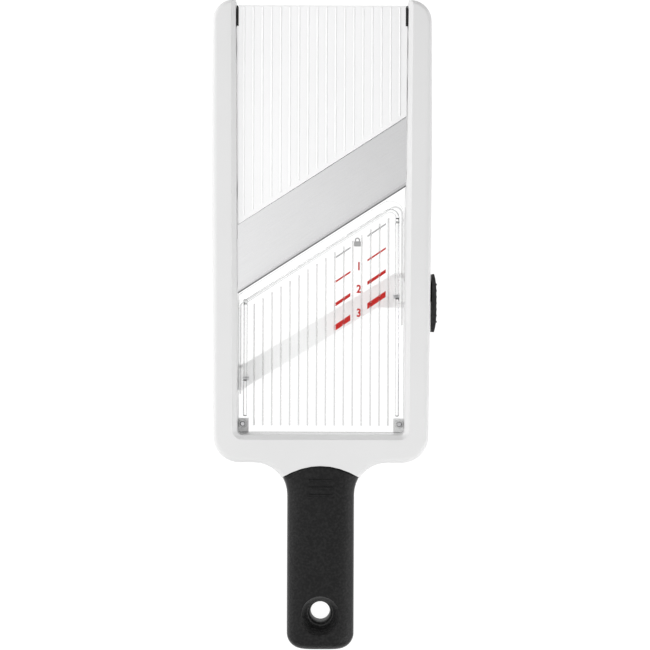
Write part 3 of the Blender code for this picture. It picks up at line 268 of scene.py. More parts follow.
# %% Shader group: moulded skin
skin, given, leaves = new_group(
    "moulded_skin",
    "ShaderNodeTree",
    [("Grain Scale", FLOAT, 2200.0), ("Drift Scale", FLOAT, 28.0), ("Depth", FLOAT, 0.5)],
    [("Height", FLOAT), ("Tone", FLOAT), ("Gloss", FLOAT)],
)
place = place_in(skin)
grain = noise(skin, place, given["Grain Scale"], 2.0)
drift = noise(skin, place, given["Drift Scale"], 3.0)
pits = put(skin, "ShaderNodeTexVoronoi", Vector=place, Scale=given["Grain Scale"])
grain_height = calc(skin, "ADD", grain, calc(skin, "MULTIPLY", pits.outputs["Distance"], 0.6))
feed(skin, leaves["Height"], calc(skin, "MULTIPLY", grain_height, given["Depth"]))
feed(skin, leaves["Tone"], drift)
mixed = calc(skin, "ADD", calc(skin, "MULTIPLY", grain, 0.35), drift)
feed(skin, leaves["Gloss"], calc(skin, "SUBTRACT", mixed, 0.15))
print("moulded skin:", len(skin.nodes), "nodes")

# %% [markdown]
# ## Handling marks
# A kitchen tool is wiped, stacked and slid about. That leaves hairline scratches that run mostly
# along it, and faint smears. The group gives two masks: scratches from noise stretched along Y
# and cut to its thin ridges, and smears from one slow noise with soft edges.

# %% Shader group: handling marks
marks, given, leaves = new_group(
    "handling_marks",
    "ShaderNodeTree",
    [("Scratch Scale", FLOAT, 900.0), ("Amount", FLOAT, 0.5), ("Turn", FLOAT, 0.0)],
    [("Scratches", FLOAT), ("Smears", FLOAT)],
)
place = place_in(marks)
turned = put(marks, "ShaderNodeVectorRotate", {"rotation_type": "Z_AXIS"}, Vector=place, Angle=given["Turn"])
drawn = put(marks, "ShaderNodeMapping", Vector=turned.outputs[0], Scale=(1.0, 0.03, 1.0))
lines = noise(marks, drawn.outputs[0], given["Scratch Scale"], 3.0)
ridge = calc(marks, "ABSOLUTE", calc(marks, "SUBTRACT", lines, 0.5))
thin = ranged(marks, ridge, 1.0, 0.0, 0.0, 0.012)
gaps = ranged(marks, noise(marks, place, 70.0, 2.0), 0.0, 1.0, 0.52, 0.66)
scratch = calc(marks, "MULTIPLY", thin, gaps)
feed(marks, leaves["Scratches"], calc(marks, "MULTIPLY", scratch, given["Amount"]))
smear = put(marks, "ShaderNodeTexNoise", Vector=place, Scale=22.0, Detail=4.0, Distortion=0.6)
soft = ranged(marks, smear.outputs["Fac"], 0.0, 1.0, 0.5, 0.72, "SMOOTHSTEP")
feed(marks, leaves["Smears"], calc(marks, "MULTIPLY", soft, given["Amount"]))
print("handling marks:", len(marks.nodes), "nodes")

# %% [markdown]
# ## Worn edges
# Corners of moulded plastic are never razor sharp, and hands polish them first. Comparing the
# true normal with one that is averaged over a small radius finds the edges. The group gives that
# softened normal, for a bump to start from, and an edge mask broken up by noise.

# %% Shader group: worn edges
edges, given, leaves = new_group(
    "worn_edges",
    "ShaderNodeTree",
    [("Radius", FLOAT, 0.0004), ("Break Up", FLOAT, 180.0)],
    [("Edge", FLOAT), ("Normal", "NodeSocketVector")],
)
softened = put(edges, "ShaderNodeBevel", {"samples": 4}, Radius=given["Radius"])
true_normal = edges.nodes.new("ShaderNodeNewGeometry").outputs["Normal"]
agree = put(edges, "ShaderNodeVectorMath", {"operation": "DOT_PRODUCT"})
feed(edges, agree.inputs[0], softened.outputs[0])
feed(edges, agree.inputs[1], true_normal)
apart = calc(edges, "SUBTRACT", 1.0, agree.outputs["Value"])
patchy = noise(edges, place_in(edges), given["Break Up"], 3.0)
mask = calc(edges, "MULTIPLY", calc(edges, "MULTIPLY", apart, 6.0), patchy, clamp=True)
feed(edges, leaves["Edge"], mask)
feed(edges, leaves["Normal"], softened.outputs[0])
print("worn edges:", len(edges.nodes), "nodes")

# %% [markdown]
# ## The plastics
# The frame is a satin white, and the landing plate is whiter and glossier: it is thin and lets
# light through, so it scatters a little under its surface. The grips are black, the handle's with
# a coarse grain and pale specks where the soft skin is scuffed. One function serves them all.

# %% Moulded plastics
def plastic(name, color, roughness, grain_depth, wear_color, scatter=0.0, specular=0.5,
            grain_scale=2200.0, speckle=0.0):
    """A moulded plastic with grain, drift, hairlines, smears and polished edges."""
    mat, tree, shader = new_material(name, color)
    surface = layer(tree, skin, Grain_Scale=grain_scale, Depth=grain_depth).outputs
    handled = layer(tree, marks, Amount=1.0).outputs
    worn = layer(tree, edges, Radius=0.35 * MM).outputs
    drifted = toned(tree, color, ranged(tree, surface["Tone"], 0.965, 1.02))
    specks = ranged(tree, noise(tree, place_in(tree), 750.0, 3.0), 0.0, speckle, 0.42, 0.66)
    speckled = blended(tree, specks, drifted, (*wear_color, 1))
    rubbed = calc(tree, "MULTIPLY", worn["Edge"], 0.5)
    feed(tree, shader.inputs["Base Color"], blended(tree, rubbed, speckled, (*wear_color, 1)))
    gloss = ranged(tree, surface["Gloss"], roughness - 0.07, roughness + 0.08)
    smeared = calc(tree, "ADD", gloss, calc(tree, "MULTIPLY", handled["Smears"], 0.08))
    polished = calc(tree, "SUBTRACT", smeared, calc(tree, "MULTIPLY", worn["Edge"], 0.1))
    feed(tree, shader.inputs["Roughness"], polished)
    height = calc(tree, "SUBTRACT", surface["Height"], handled["Scratches"])
    feed(tree, shader.inputs["Normal"], relief(tree, height, 0.35, 0.06 * MM, worn["Normal"]))
    shader.inputs["Specular IOR Level"].default_value = specular
    shader.inputs["Subsurface Weight"].default_value = scatter
    shader.inputs["Subsurface Radius"].default_value = (4 * MM, 4 * MM, 4 * MM)
    return mat


def grey(value):
    """An even grey."""
    return (value, value, value)


white_satin = plastic("white_satin", grey(0.755), 0.42, 0.5, grey(0.88))
plate_white = plastic("plate_white", (0.955, 0.955, 0.958), 0.36, 0.3, grey(0.96), scatter=0.08)
bar_pale = plastic("bar_pale_white", grey(0.97), 0.5, 0.7, grey(0.95))
grip_black = plastic("grip_soft_black", (0.003, 0.003, 0.0032), 0.42, 9.0, grey(0.02),
                     specular=0.24, grain_scale=900.0, speckle=0.55)
side_black = plastic("side_grip_black", (0.004, 0.004, 0.0042), 0.45, 1.6, grey(0.04),
                     specular=0.35, speckle=0.6)
foot_black = plastic("foot_rubber_black", grey(0.014), 0.75, 2.0, grey(0.03))
print("plastics:", [m.name for m in bpy.data.materials if m.name.endswith(("satin", "white", "black"))])

# %% [markdown]
# ## The steels
# The blade is rolled strip, bead-blasted to a fine even satin. Its bevel is ground bright, and
# the last thin strip of it is dark steel: painted shade for the shadowed line along the cutting
# edge. Rolling and grinding leave a faint grain, so the noise is stretched in that direction.
# Screws, pins and posts are plain turned steel with a tighter grain, and the detent's spring is a
# rolled strip.

# %% Blade, edge and fastener steel
def steel(name, color, roughness, angle, stretch, streak_depth, speckle):
    """Metal with a directional grain at this angle, fine speckle and hairline scratches."""
    mat, tree, shader = new_material(name, color)
    shader.inputs["Metallic"].default_value = 1.0
    where = place_in(tree)
    along = put(tree, "ShaderNodeVectorRotate", {"rotation_type": "Z_AXIS"}, Vector=where, Angle=-angle)
    drawn = put(tree, "ShaderNodeMapping", Vector=along.outputs[0], Scale=(stretch, 1.0, 1.0))
    streaks = noise(tree, drawn.outputs[0], 2600.0, 3.0)
    fine = noise(tree, where, 5200.0, 1.0)
    handled = layer(tree, marks, Amount=0.6, Turn=0.6 - angle).outputs
    worn = layer(tree, edges, Radius=0.12 * MM).outputs
    grainy = calc(tree, "MULTIPLY", calc(tree, "SUBTRACT", fine, 0.5), speckle)
    lined = calc(tree, "MULTIPLY", calc(tree, "SUBTRACT", streaks, 0.5), streak_depth)
    rolled = calc(tree, "ADD", grainy, lined)
    feed(tree, shader.inputs["Base Color"], toned(tree, color, calc(tree, "ADD", rolled, 1.0)))
    gloss = ranged(tree, noise(tree, where, 18.0, 3.0), roughness - 0.06, roughness + 0.06)
    rough = calc(tree, "ADD", gloss, calc(tree, "MULTIPLY", handled["Smears"], 0.06))
    feed(tree, shader.inputs["Roughness"], rough)
    height = calc(tree, "SUBTRACT", rolled, handled["Scratches"])
    feed(tree, shader.inputs["Normal"], relief(tree, height, 0.3, 0.04 * MM, worn["Normal"]))
    return mat


ACROSS_BLADE = BLADE_ANGLE + math.pi / 2
blade_satin = steel("blade_satin_steel", (0.90, 0.90, 0.905), 0.30, BLADE_ANGLE, 0.03, 0.10, 0.20)
ground_steel = steel("ground_edge_steel", (0.95, 0.95, 0.96), 0.16, ACROSS_BLADE, 0.05, 0.18, 0.05)
# Dark steel for the strip along the cutting edge: painted shade for the shadowed line there.
edge_shade_steel = steel("painted_shade_edge_steel", (0.20, 0.20, 0.205), 0.3, BLADE_ANGLE, 0.05, 0.1, 0.05)
turned_steel = steel("turned_steel", (0.62, 0.62, 0.63), 0.3, 0.0, 0.2, 0.12, 0.05)
spring_steel = steel("spring_strip_steel", (0.55, 0.54, 0.53), 0.28, math.pi / 2, 0.04, 0.15, 0.05)
print("steels ready")

# %% [markdown]
# ## The clear ramp plastic
# Clear styrene bends light, so its skirts and ribs show as grey lines. Real refraction gives
# that, helped by painted shade: a grey tint on steep faces darkens those lines further. A second,
# darker mix paints shade onto the crowns and rims. The plain Principled shader would also cast a
# solid black shadow, because Cycles finds few caustic paths, so shadow and bounce rays pass
# through a slightly tinted Transparent shader.

# %% Clear plastic
def clear_plastic(name, tint, steep_face_shade, roughness):
    """Refracting plastic with painted shade on steep faces, whose shadow is a light tint."""
    mat, tree, shader = new_material(name, tint, 0.35)
    shader.inputs["Transmission Weight"].default_value = 1.0
    shader.inputs["IOR"].default_value = 1.49
    normal = tree.nodes.new("ShaderNodeNewGeometry").outputs["Normal"]
    facing = put(tree, "ShaderNodeSeparateXYZ", Vector=normal)
    flatness = calc(tree, "ABSOLUTE", facing.outputs["Z"])
    # Steep faces take the grey tint: painted shade that darkens the refracted edge lines.
    steep = ranged(tree, flatness, 0.0, 1.0, 0.97, 0.45, "SMOOTHSTEP")
    feed(tree, shader.inputs["Base Color"], blended(tree, steep, (*tint, 1), (*steep_face_shade, 1)))
    surface = layer(tree, skin, Grain_Scale=160.0, Depth=0.25).outputs
    handled = layer(tree, marks, Amount=0.8).outputs
    worn = layer(tree, edges, Radius=0.2 * MM).outputs
    rough = calc(tree, "ADD", calc(tree, "MULTIPLY", handled["Smears"], 0.05), roughness)
    scratched = calc(tree, "ADD", rough, calc(tree, "MULTIPLY", handled["Scratches"], 0.15))
    feed(tree, shader.inputs["Roughness"], scratched)
    bump = relief(tree, surface["Height"], 0.12, 0.08 * MM, worn["Normal"])
    feed(tree, shader.inputs["Normal"], bump)
    rays = tree.nodes.new("ShaderNodeLightPath").outputs
    through = put(tree, "ShaderNodeBsdfTransparent", Color=(0.985, 0.985, 0.985, 1))
    both = tree.nodes.new("ShaderNodeMixShader")
    feed(tree, both.inputs[0], calc(tree, "MAXIMUM", rays["Is Shadow Ray"], rays["Is Diffuse Ray"]))
    feed(tree, both.inputs[1], shader.outputs[0])
    feed(tree, both.inputs[2], through.outputs[0])
    feed(tree, tree.nodes["Material Output"].inputs["Surface"], both.outputs[0])
    return mat


ramp_clear = clear_plastic("ramp_clear", (0.99, 0.994, 0.992), (0.36, 0.37, 0.37), 0.03)
# A darker grey mix: painted shade for the rib crowns, the near rim and the skirt edges.
ramp_shade_tinted = clear_plastic("ramp_painted_shade_crowns", grey(0.50), grey(0.38), 0.1)


# %% [markdown]
# ## Screen-printed marks
# The settings are printed in two inks. Screen ink is slightly uneven where the mesh of the
# screen lifted, so each ink takes a fine dither in its colour and a satin, not glossy, surface.

# %% Inks
def ink(name, color):
    """Printed ink with a fine, uneven lay."""
    mat, tree, shader = new_material(name, color)
    surface = layer(tree, skin, Grain_Scale=3800.0, Drift_Scale=400.0, Depth=1.0).outputs
    feed(tree, shader.inputs["Base Color"], toned(tree, color, ranged(tree, surface["Tone"], 0.85, 1.12)))
    feed(tree, shader.inputs["Roughness"], ranged(tree, surface["Gloss"], 0.4, 0.6))
    feed(tree, shader.inputs["Normal"], relief(tree, surface["Height"], 0.2, 0.03 * MM))
    shader.inputs["Specular IOR Level"].default_value = 0.0
    return mat


red_ink = ink("red_ink", (0.55, 0.006, 0.003))
grey_ink = ink("grey_ink", grey(0.40))
print("clear plastic and inks ready")

# %% [markdown]
# ## The table
# A pale sheet that glows like a light table, so that the tool's own shadow on it stays faint. It
# is stage, not part of the object, and lies a hair below the feet.

# %% Table
FLOOR_HALF = 3.0
FLOOR_Z = -0.15 * MM
paper, paper_tree, paper_shader = new_material("pale_paper", grey(0.8))
fibres = noise(paper_tree, place_in(paper_tree), 30.0, 4.0)
feed(paper_tree, paper_shader.inputs["Base Color"], ranged(paper_tree, fibres, 0.115, 0.125))
paper_shader.inputs["Roughness"].default_value = 0.9
paper_shader.inputs["Emission Color"].default_value = (1, 1, 1, 1)
paper_shader.inputs["Emission Strength"].default_value = 0.965
sheet = bpy.data.meshes.new("table")
ends = (-FLOOR_HALF, FLOOR_HALF)
sheet.from_pydata([(x, y, FLOOR_Z) for y in ends for x in ends], [], [(0, 1, 3, 2)])
table_top = bpy.data.objects.new("table", sheet)
table_top.data.materials.append(paper)
bpy.context.scene.collection.objects.link(table_top)
print("table", 2 * FLOOR_HALF, "m square")

# %% [markdown]
# ## Small tools for solids
# Every piece starts as an outline in plan, measured from the tool's centreline, that is pulled
# up into a slab with softened rims. Booleans join and cut slabs, and `hand_over` moves the
# finished mesh onto the frame, gives it its finish and hides the solids it stands in for.

# %% Outlines and slabs
def rounded(outline, steps=8):
    """A closed outline through corners (x, y, radius), with steps per quarter turn."""
    points = []
    count = len(outline)
    for i in range(count):
        corner = Vector(outline[i][:2])
        radius = outline[i][2]
        before = (Vector(outline[i - 1][:2]) - corner).normalized()
        after = (Vector(outline[(i + 1) % count][:2]) - corner).normalized()
        half_angle = before.angle(after) / 2
        if radius <= 0:
            points.append(tuple(corner))
            continue
        centre = corner + (before + after).normalized() * radius / math.sin(half_angle)
        start = corner + before * radius / math.tan(half_angle) - centre
        end = corner + after * radius / math.tan(half_angle) - centre
        turn = start.angle_signed(end)
        pieces = max(2, round(abs(turn) / (math.pi / 2) * steps))
        for k in range(pieces + 1):
            angle = -turn * k / pieces
            x = centre.x + start.x * math.cos(angle) - start.y * math.sin(angle)
            y = centre.y + start.x * math.sin(angle) + start.y * math.cos(angle)
            points.append((x, y))
    return points


def held(name, mesh):
    """A new object in the scene, showing this mesh."""
    obj = bpy.data.objects.new(name, mesh)
    bpy.context.scene.collection.objects.link(obj)
    return obj


def slab(name, outline, low, high, ease=0.0):
    """A flat solid with this outline from low to high, its rims rounded by ease."""
    bm = bmesh.new()
    rim = bm.faces.new([bm.verts.new((x, y, low)) for x, y in outline])
    pulled = bmesh.ops.extrude_face_region(bm, geom=[rim])
    top = [part for part in pulled["geom"] if isinstance(part, bmesh.types.BMVert)]
    bmesh.ops.translate(bm, verts=top, vec=(0, 0, high - low))
    bmesh.ops.recalc_face_normals(bm, faces=bm.faces)
    if ease:
        level = [e for e in bm.edges if abs(e.verts[0].co.z - e.verts[1].co.z) < 1e-7]
        eased = {"segments": 3, "profile": 0.5, "affect": "EDGES", "clamp_overlap": True}
        bmesh.ops.bevel(bm, geom=level, offset=ease, **eased)
    mesh = bpy.data.meshes.new(name)
    bm.to_mesh(mesh)
    bm.free()
    return held(name, mesh)


def block(name, x, y, z):
    """A plain box between the two values of each pair."""
    return slab(name, [(x[0], y[0]), (x[1], y[0]), (x[1], y[1]), (x[0], y[1])], *z)


def side_slab(name, outline, x, ease=0.0):
    """A slab whose outline is given in Y and Z, standing between the two values of x."""
    obj = slab(name, outline, x[0], x[1], ease)
    for vertex in obj.data.vertices:
        y, z, across = vertex.co
        vertex.co = (across, y, z)
    return obj


def turned_solid(name, profile, centre, sides=96):
    """A solid of revolution about a vertical line, from (radius, height) pairs, bottom first."""
    bm = bmesh.new()
    rings = []
    for radius, z in profile:
        ring = []
        for k in range(sides):
            angle = 2 * math.pi * k / sides
            x = centre[0] + radius * math.cos(angle)
            ring.append(bm.verts.new((x, centre[1] + radius * math.sin(angle), z)))
        rings.append(ring)
    for lower, upper in zip(rings, rings[1:]):
        for k in range(sides):
            j = (k + 1) % sides
            bm.faces.new((lower[k], lower[j], upper[j], upper[k]))
    bm.faces.new(rings[0][::-1])
    bm.faces.new(rings[-1])
    mesh = bpy.data.meshes.new(name)
    bm.to_mesh(mesh)
    bm.free()
    return held(name, mesh)


def settled(obj):
    """Work the object's modifiers into its mesh."""
    graph = bpy.context.evaluated_depsgraph_get()
    mesh = bpy.data.meshes.new_from_object(obj.evaluated_get(graph))
    obj.modifiers.clear()
    obj.data = mesh
    return obj


def combine(target, operation, *tools):
    """Join (UNION) or cut (DIFFERENCE) solids into the target, leaving one plain mesh."""
    for tool in tools:
        mod = target.modifiers.new(tool.name, "BOOLEAN")
        mod.operation = operation
        mod.solver = "EXACT"
        mod.object = tool
    settled(target)
    for tool in tools:
        bpy.data.objects.remove(tool)
    return target


def gathered(name, pieces):
    """One object from several that stand clear of each other."""
    bm = bmesh.new()
    for piece in pieces:
        bm.from_mesh(piece.data)
        bpy.data.objects.remove(piece)
    mesh = bpy.data.meshes.new(name)
    bm.to_mesh(mesh)
    bm.free()
    return held(name, mesh)


def hand_over(obj, body, slot, material, nodes=(), sharp=35.0, centred=True):
    """Weld, shade and finish a piece and put it on its body in place of these nodes."""
    bm = bmesh.new()
    bm.from_mesh(obj.data)
    bmesh.ops.remove_doubles(bm, verts=bm.verts, dist=1e-6)
    if centred:
        bmesh.ops.translate(bm, verts=bm.verts, vec=(CENTRE_X, 0, 0))
    bm.to_mesh(obj.data)
    bm.free()
    obj.data.materials.clear()
    obj.data.materials.append(material)
    for face in obj.data.polygons:
        face.material_index = 0
    obj.data.shade_smooth()
    obj.data.set_sharp_from_angle(angle=math.radians(sharp))
    weighted = obj.modifiers.new("even_normals", "WEIGHTED_NORMAL")
    weighted.keep_sharp = True
    settled(obj)
    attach(obj, body)
    if nodes:
        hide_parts(*nodes)
    print(f"{obj.name}: {len(obj.data.polygons)} faces on {body}")
    return obj


def welded_copy(node, name, ease=0.0, angle=40.0):
    """A copy of a solid's mesh, its loose triangles welded into faces and its edges eased."""
    obj = held(name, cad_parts[node].data.copy())
    bm = bmesh.new()
    bm.from_mesh(obj.data)
    bmesh.ops.remove_doubles(bm, verts=bm.verts, dist=1e-6)
    bmesh.ops.recalc_face_normals(bm, faces=bm.faces)
    bmesh.ops.dissolve_limit(bm, angle_limit=math.radians(0.4), verts=bm.verts, edges=bm.edges)
    bm.to_mesh(obj.data)
    bm.free()
    if ease:
        mod = obj.modifiers.new("ease", "BEVEL")
        mod.width = ease
        mod.segments = 2
        mod.limit_method = "ANGLE"
        mod.angle_limit = math.radians(angle)
        mod.use_clamp_overlap = True
        settled(obj)
    return obj


def hand_over_copy(node, name, ease, body, slot, material, **more):
    """Copy, ease and finish a solid, and put it on its body in the solid's place."""
    angle = more.pop("angle", 40.0)
    copy = welded_copy(node, name, ease * MM, angle)
    return hand_over(copy, body, slot, material, [node], centred=False, **more)


def on_line(y, far_value, near_value, far_y, near_y):
    """A value that changes evenly between two stations along the tool."""
    share = min(1.0, max(0.0, (y - near_y) / (far_y - near_y)))
    return near_value + share * (far_value - near_value)


def inner_half(y):
    """Half the opening's width at this station."""
    return on_line(y, FAR_HALF, NEAR_HALF, FAR_Y, EDGE_LEFT_Y)


def behind_edge(x, distance):
    """Where a line this far behind the cutting edge, and parallel to it, crosses this X."""
    return EDGE_MID_Y + x * BLADE_SLOPE + distance / math.cos(BLADE_ANGLE)


def slanted_side(side, distance):
    """The corner (x, y) where such a line meets the opening's left (-1) or right (1) side."""
    y = behind_edge(side * NEAR_HALF, distance)
    half = inner_half(y)
    return half, behind_edge(side * half, distance)


print("solid tools ready")

# %% [markdown]
# ## The frame
# The white frame is one large moulding: two hollow rails, a shoulder and a neck. Its shape is
# already exact in the solid model, so the piece here is a welded copy whose sharp arrises are
# eased by a quarter of a millimetre, as any moulded corner is. Copying was chosen over
# rebuilding because the rails, the neck and the slots must stay where the moving pieces expect.

# %% Frame shell
hand_over_copy("frame", "frame_shell", 0.25, "body", "white_plastic", white_satin)

# %% [markdown]
# ## A rule for ribs
# Both the landing plate and the ramp carry fine parallel ribs that stop food sticking. One
# geometry tree makes such a row: a line of points across the tool, a rib on each, stretched
# from a near line to a far line. Either line may slant, which the blade's side needs.

# %% Geometry tree: straight ribs
ribs_tree, given, leaves = new_group(
    "straight_ribs",
    "GeometryNodeTree",
    [
        ("Count", "NodeSocketInt", 10),
        ("Pitch", FLOAT, 0.005),
        ("Width", FLOAT, 0.001),
        ("Height", FLOAT, 0.001),
        ("Crown", FLOAT, 0.0003),
        ("Near Y", FLOAT, 0.0),
        ("Near Slope", FLOAT, 0.0),
        ("Far Y", FLOAT, 0.1),
        ("Far Slope", FLOAT, 0.0),
        ("Level", FLOAT, 0.0),
        ("Material", "NodeSocketMaterial", None),
    ],
    [("Geometry", "NodeSocketGeometry")],
)
ribs_tree.is_modifier = True


def in_ribs(kind, settings=None, **inputs):
    """One node of the rib tree; returns its result."""
    return put(ribs_tree, kind, settings, **inputs).outputs[0]


gaps = calc(ribs_tree, "SUBTRACT", given["Count"], 1.0)
half_row = calc(ribs_tree, "MULTIPLY", calc(ribs_tree, "MULTIPLY", gaps, given["Pitch"]), -0.5)
first = in_ribs("ShaderNodeCombineXYZ", X=half_row)
step = in_ribs("ShaderNodeCombineXYZ", X=given["Pitch"])
row = in_ribs("GeometryNodeMeshLine", Count=given["Count"], Start_Location=first, Offset=step)
across = in_ribs("ShaderNodeSeparateXYZ", Vector=in_ribs("GeometryNodeInputPosition"))
near_end = calc(ribs_tree, "MULTIPLY_ADD", across, given["Near Slope"], given["Near Y"])
far_end = calc(ribs_tree, "MULTIPLY_ADD", across, given["Far Slope"], given["Far Y"])
moved = in_ribs("ShaderNodeCombineXYZ", Y=near_end, Z=given["Level"])
placed = in_ribs("GeometryNodeSetPosition", Geometry=row, Offset=moved)
stretch = in_ribs("ShaderNodeCombineXYZ", X=1.0, Y=calc(ribs_tree, "SUBTRACT", far_end, near_end), Z=1.0)
path = in_ribs("GeometryNodeCurvePrimitiveLine", End=(0.0, 1.0, 0.0))
upright = in_ribs("GeometryNodeSetCurveNormal", {"mode": "Z_UP"}, Curve=path)
section = in_ribs("GeometryNodeCurvePrimitiveQuadrilateral", Width=given["Width"], Height=given["Height"])
rounding = {"Radius": given["Crown"], "Count": 4, "Limit_Radius": True}
crowned = in_ribs("GeometryNodeFilletCurve", {"mode": "POLY"}, Curve=section, **rounding)
rib = in_ribs("GeometryNodeCurveToMesh", Curve=upright, Profile_Curve=crowned, Fill_Caps=True)
copies = in_ribs("GeometryNodeInstanceOnPoints", Points=placed, Instance=rib, Scale=stretch)
whole = in_ribs("GeometryNodeRealizeInstances", Geometry=copies)
painted = in_ribs("GeometryNodeSetMaterial", Geometry=whole, Material=given["Material"])
feed(ribs_tree, leaves[0], painted)


def grown(name, tree, values):
    """The mesh that a geometry tree grows from these inputs, as a plain object."""
    obj = held(name, bpy.data.meshes.new(name))
    mod = obj.modifiers.new(name, "NODES")
    mod.node_group = tree
    for item in tree.interface.items_tree:
        if item.in_out == "INPUT" and item.name in values:
            mod[item.identifier] = values[item.name]
    return settled(obj)


print("rib tree:", len(ribs_tree.nodes), "nodes")

# %% [markdown]
# ## The landing plate
# The slice slides onto this thin white plate behind the blade. It is a slab with one slanted
# side, a lower seat that runs on under the blade, four screw bosses and eighteen ribs. The ribs
# come from the rib tree; the rest is slabs and Booleans, as a moulded part is thought out.

# %% Landing plate
PLATE_THICK = 2.4 * MM
PLATE_FAR_Y = plate_high.y
PLATE_GAP = 0.4 * MM
PLATE_START = 33.7 * MM
PLATE_RIB_PITCH = 5.28 * MM
PLATE_RIB_RISE = 0.3 * MM
PLATE_RIB_HEIGHT = 1.6 * MM
SEAT_START = 7 * MM
SEAT_END = 43.4 * MM
SEAT_TOP = blade_low.z - 0.3 * MM
SEAT_GAP = 0.8 * MM
BOSS_PROFILE = [(3 * MM, 14.1 * MM), (3.2 * MM, PLATE_TOP - MM)]
NOTCH_RUN = 11.9 * MM
NOTCH_DEPTH = 1.7 * MM
BOSS_SPOTS = [(-43.3, 79.4), (43.9, 137.8), (-37.75, 161.0), (37.75, 161.0)]


def plate_outline(start, end, gap):
    """Corners of the plate between a slanted start and a straight or slanted end."""
    left, left_y = slanted_side(-1, start)
    right, right_y = slanted_side(1, start)
    if end is None:
        ends = [(inner_half(PLATE_FAR_Y), PLATE_FAR_Y)] * 2
    else:
        ends = [slanted_side(1, end), slanted_side(-1, end)]
    return [
        (gap - left, left_y),
        (right - gap, right_y),
        (ends[0][0] - gap, ends[0][1]),
        (gap - ends[1][0], ends[1][1]),
    ]


landing = plate_outline(PLATE_START, None, PLATE_GAP)
plate = slab("plate_with_ribs", landing, PLATE_TOP - PLATE_THICK, PLATE_TOP, 0.45 * MM)
under_blade = plate_outline(SEAT_START, SEAT_END, SEAT_GAP)
seat = slab("seat", under_blade, SEAT_TOP - PLATE_THICK, SEAT_TOP, 0.2 * MM)
bosses = []
for x, y in BOSS_SPOTS:
    bosses.append(turned_solid("boss", BOSS_PROFILE, (x * MM, y * MM), 48))
plate_ribs = grown(
    "plate_ribs",
    ribs_tree,
    {
        "Count": 18,
        "Pitch": PLATE_RIB_PITCH,
        "Width": 1.1 * MM,
        "Height": PLATE_RIB_HEIGHT,
        "Crown": 0.5 * MM,
        "Near Y": behind_edge(0, PLATE_START + 2.5 * MM),
        "Near Slope": BLADE_SLOPE,
        "Far Y": PLATE_FAR_Y - MM,
        "Level": PLATE_TOP + PLATE_RIB_RISE - PLATE_RIB_HEIGHT / 2,
        "Material": plate_white,
    },
)
combine(plate, "UNION", seat, gathered("bosses", bosses), plate_ribs)
notches = []
far_half = inner_half(PLATE_FAR_Y)
for side in (-1, 1):
    ends = sorted((side * (far_half - NOTCH_DEPTH), side * (far_half + MM)))
    notches.append(block("notch", ends, (PLATE_FAR_Y - NOTCH_RUN, PLATE_FAR_Y + MM), (MM, RAIL_TOP)))
combine(plate, "DIFFERENCE", gathered("notches", notches))
hand_over(plate, "body", "plate_plastic", plate_white, ["landing_plate"])

# %% [markdown]
# ## The blade
# A strip of hardened steel, satin all over and ground to a bright bevel along its cutting edge.
# The solid model's blade is copied. The faces of the bevel are found by their tilt and take the
# ground finish, and one cut parallel to the edge parts off a thin strip that takes dark steel as
# painted shade along the edge, because the finishes meet at crisp lines on one piece of steel.

# %% Blade
SHADED_EDGE_WIDTH = 0.7 * MM
BEVEL_REACH = 4 * MM
steel_blade = welded_copy("blade", "steel_blade", 0.08 * MM)
bm = bmesh.new()
bm.from_mesh(steel_blade.data)
bmesh.ops.bisect_plane(
    bm,
    geom=[*bm.verts, *bm.edges, *bm.faces],
    plane_co=(CENTRE_X, behind_edge(0, SHADED_EDGE_WIDTH), 0),
    plane_no=(-math.sin(BLADE_ANGLE), math.cos(BLADE_ANGLE), 0),
)
bm.to_mesh(steel_blade.data)
bm.free()
hand_over(steel_blade, "body", "blade_steel", blade_satin, ["blade"], sharp=12.0, centred=False)
steel_blade.data.materials.append(ground_steel)
steel_blade.data.materials.append(edge_shade_steel)
# The strip nearest the edge takes the dark steel, which is painted shade; the bevel takes the ground steel.
for face in steel_blade.data.polygons:
    behind = (face.center.y - behind_edge(face.center.x - CENTRE_X, 0)) * math.cos(BLADE_ANGLE)
    if behind < SHADED_EDGE_WIDTH:
        face.material_index = 2
    elif 0.1 < face.normal.z < 0.99 and behind < BEVEL_REACH:
        face.material_index = 1
print("ground and honed faces:", sum(face.material_index > 0 for face in steel_blade.data.polygons))

# %% [markdown]
# ## The clear ramp
# Food slides over this clear plate, so the setting bar and the marks show through it. It has a
# skirt down each side with a sloping slot for the bar's pins, a skirt along the blade that
# stiffens it, a low rim on top, two guide bosses and sixteen ribs. All of it is joined into one
# closed mesh, because refraction needs clean insides: overlapping shells would show as ghost
# walls. Crowns, rims and skirt edges take the darker grey mix, which is painted shade, and the
# flat of the plate stays clear.

# %% Ramp
RAMP_THICK = 2.6 * MM
SKIRT_EASE = 0.45 * MM
SKIRT_NEAR = 9.6 * MM
SKIRT_PAST_SLOT = 3.15 * MM
SKIRT_UNDER_SLOT = 1.3 * MM
RAMP_UNDER = RAMP_TOP - RAMP_THICK
RAMP_HALF = 47.9 * MM
RAMP_NEAR_Y = ramp_low.y
PIN_Z = RAMP_UNDER - 2.4 * MM
PIN_REACH = 1.55 * MM
TRAVEL = 42.83 * MM
RAMP_RISE = 4.5 * MM
PIN_STATIONS = {-1: -31.28 * MM, 1: 16.57 * MM}
SKIRT_X = (43.2 * MM, 45.2 * MM)
POST_SPOT = (45.4 * MM, -57.5 * MM)


def slot_outline(y0, z0, y1, z1, radius, steps=10):
    """A slot in Y and Z, round at both ends."""
    along = math.atan2(z1 - z0, y1 - y0)
    points = []
    for y, z, start in ((y1, z1, along - math.pi / 2), (y0, z0, along + math.pi / 2)):
        for k in range(steps + 1):
            angle = start + math.pi * k / steps
            points.append((y + radius * math.cos(angle), z + radius * math.sin(angle)))
    return points


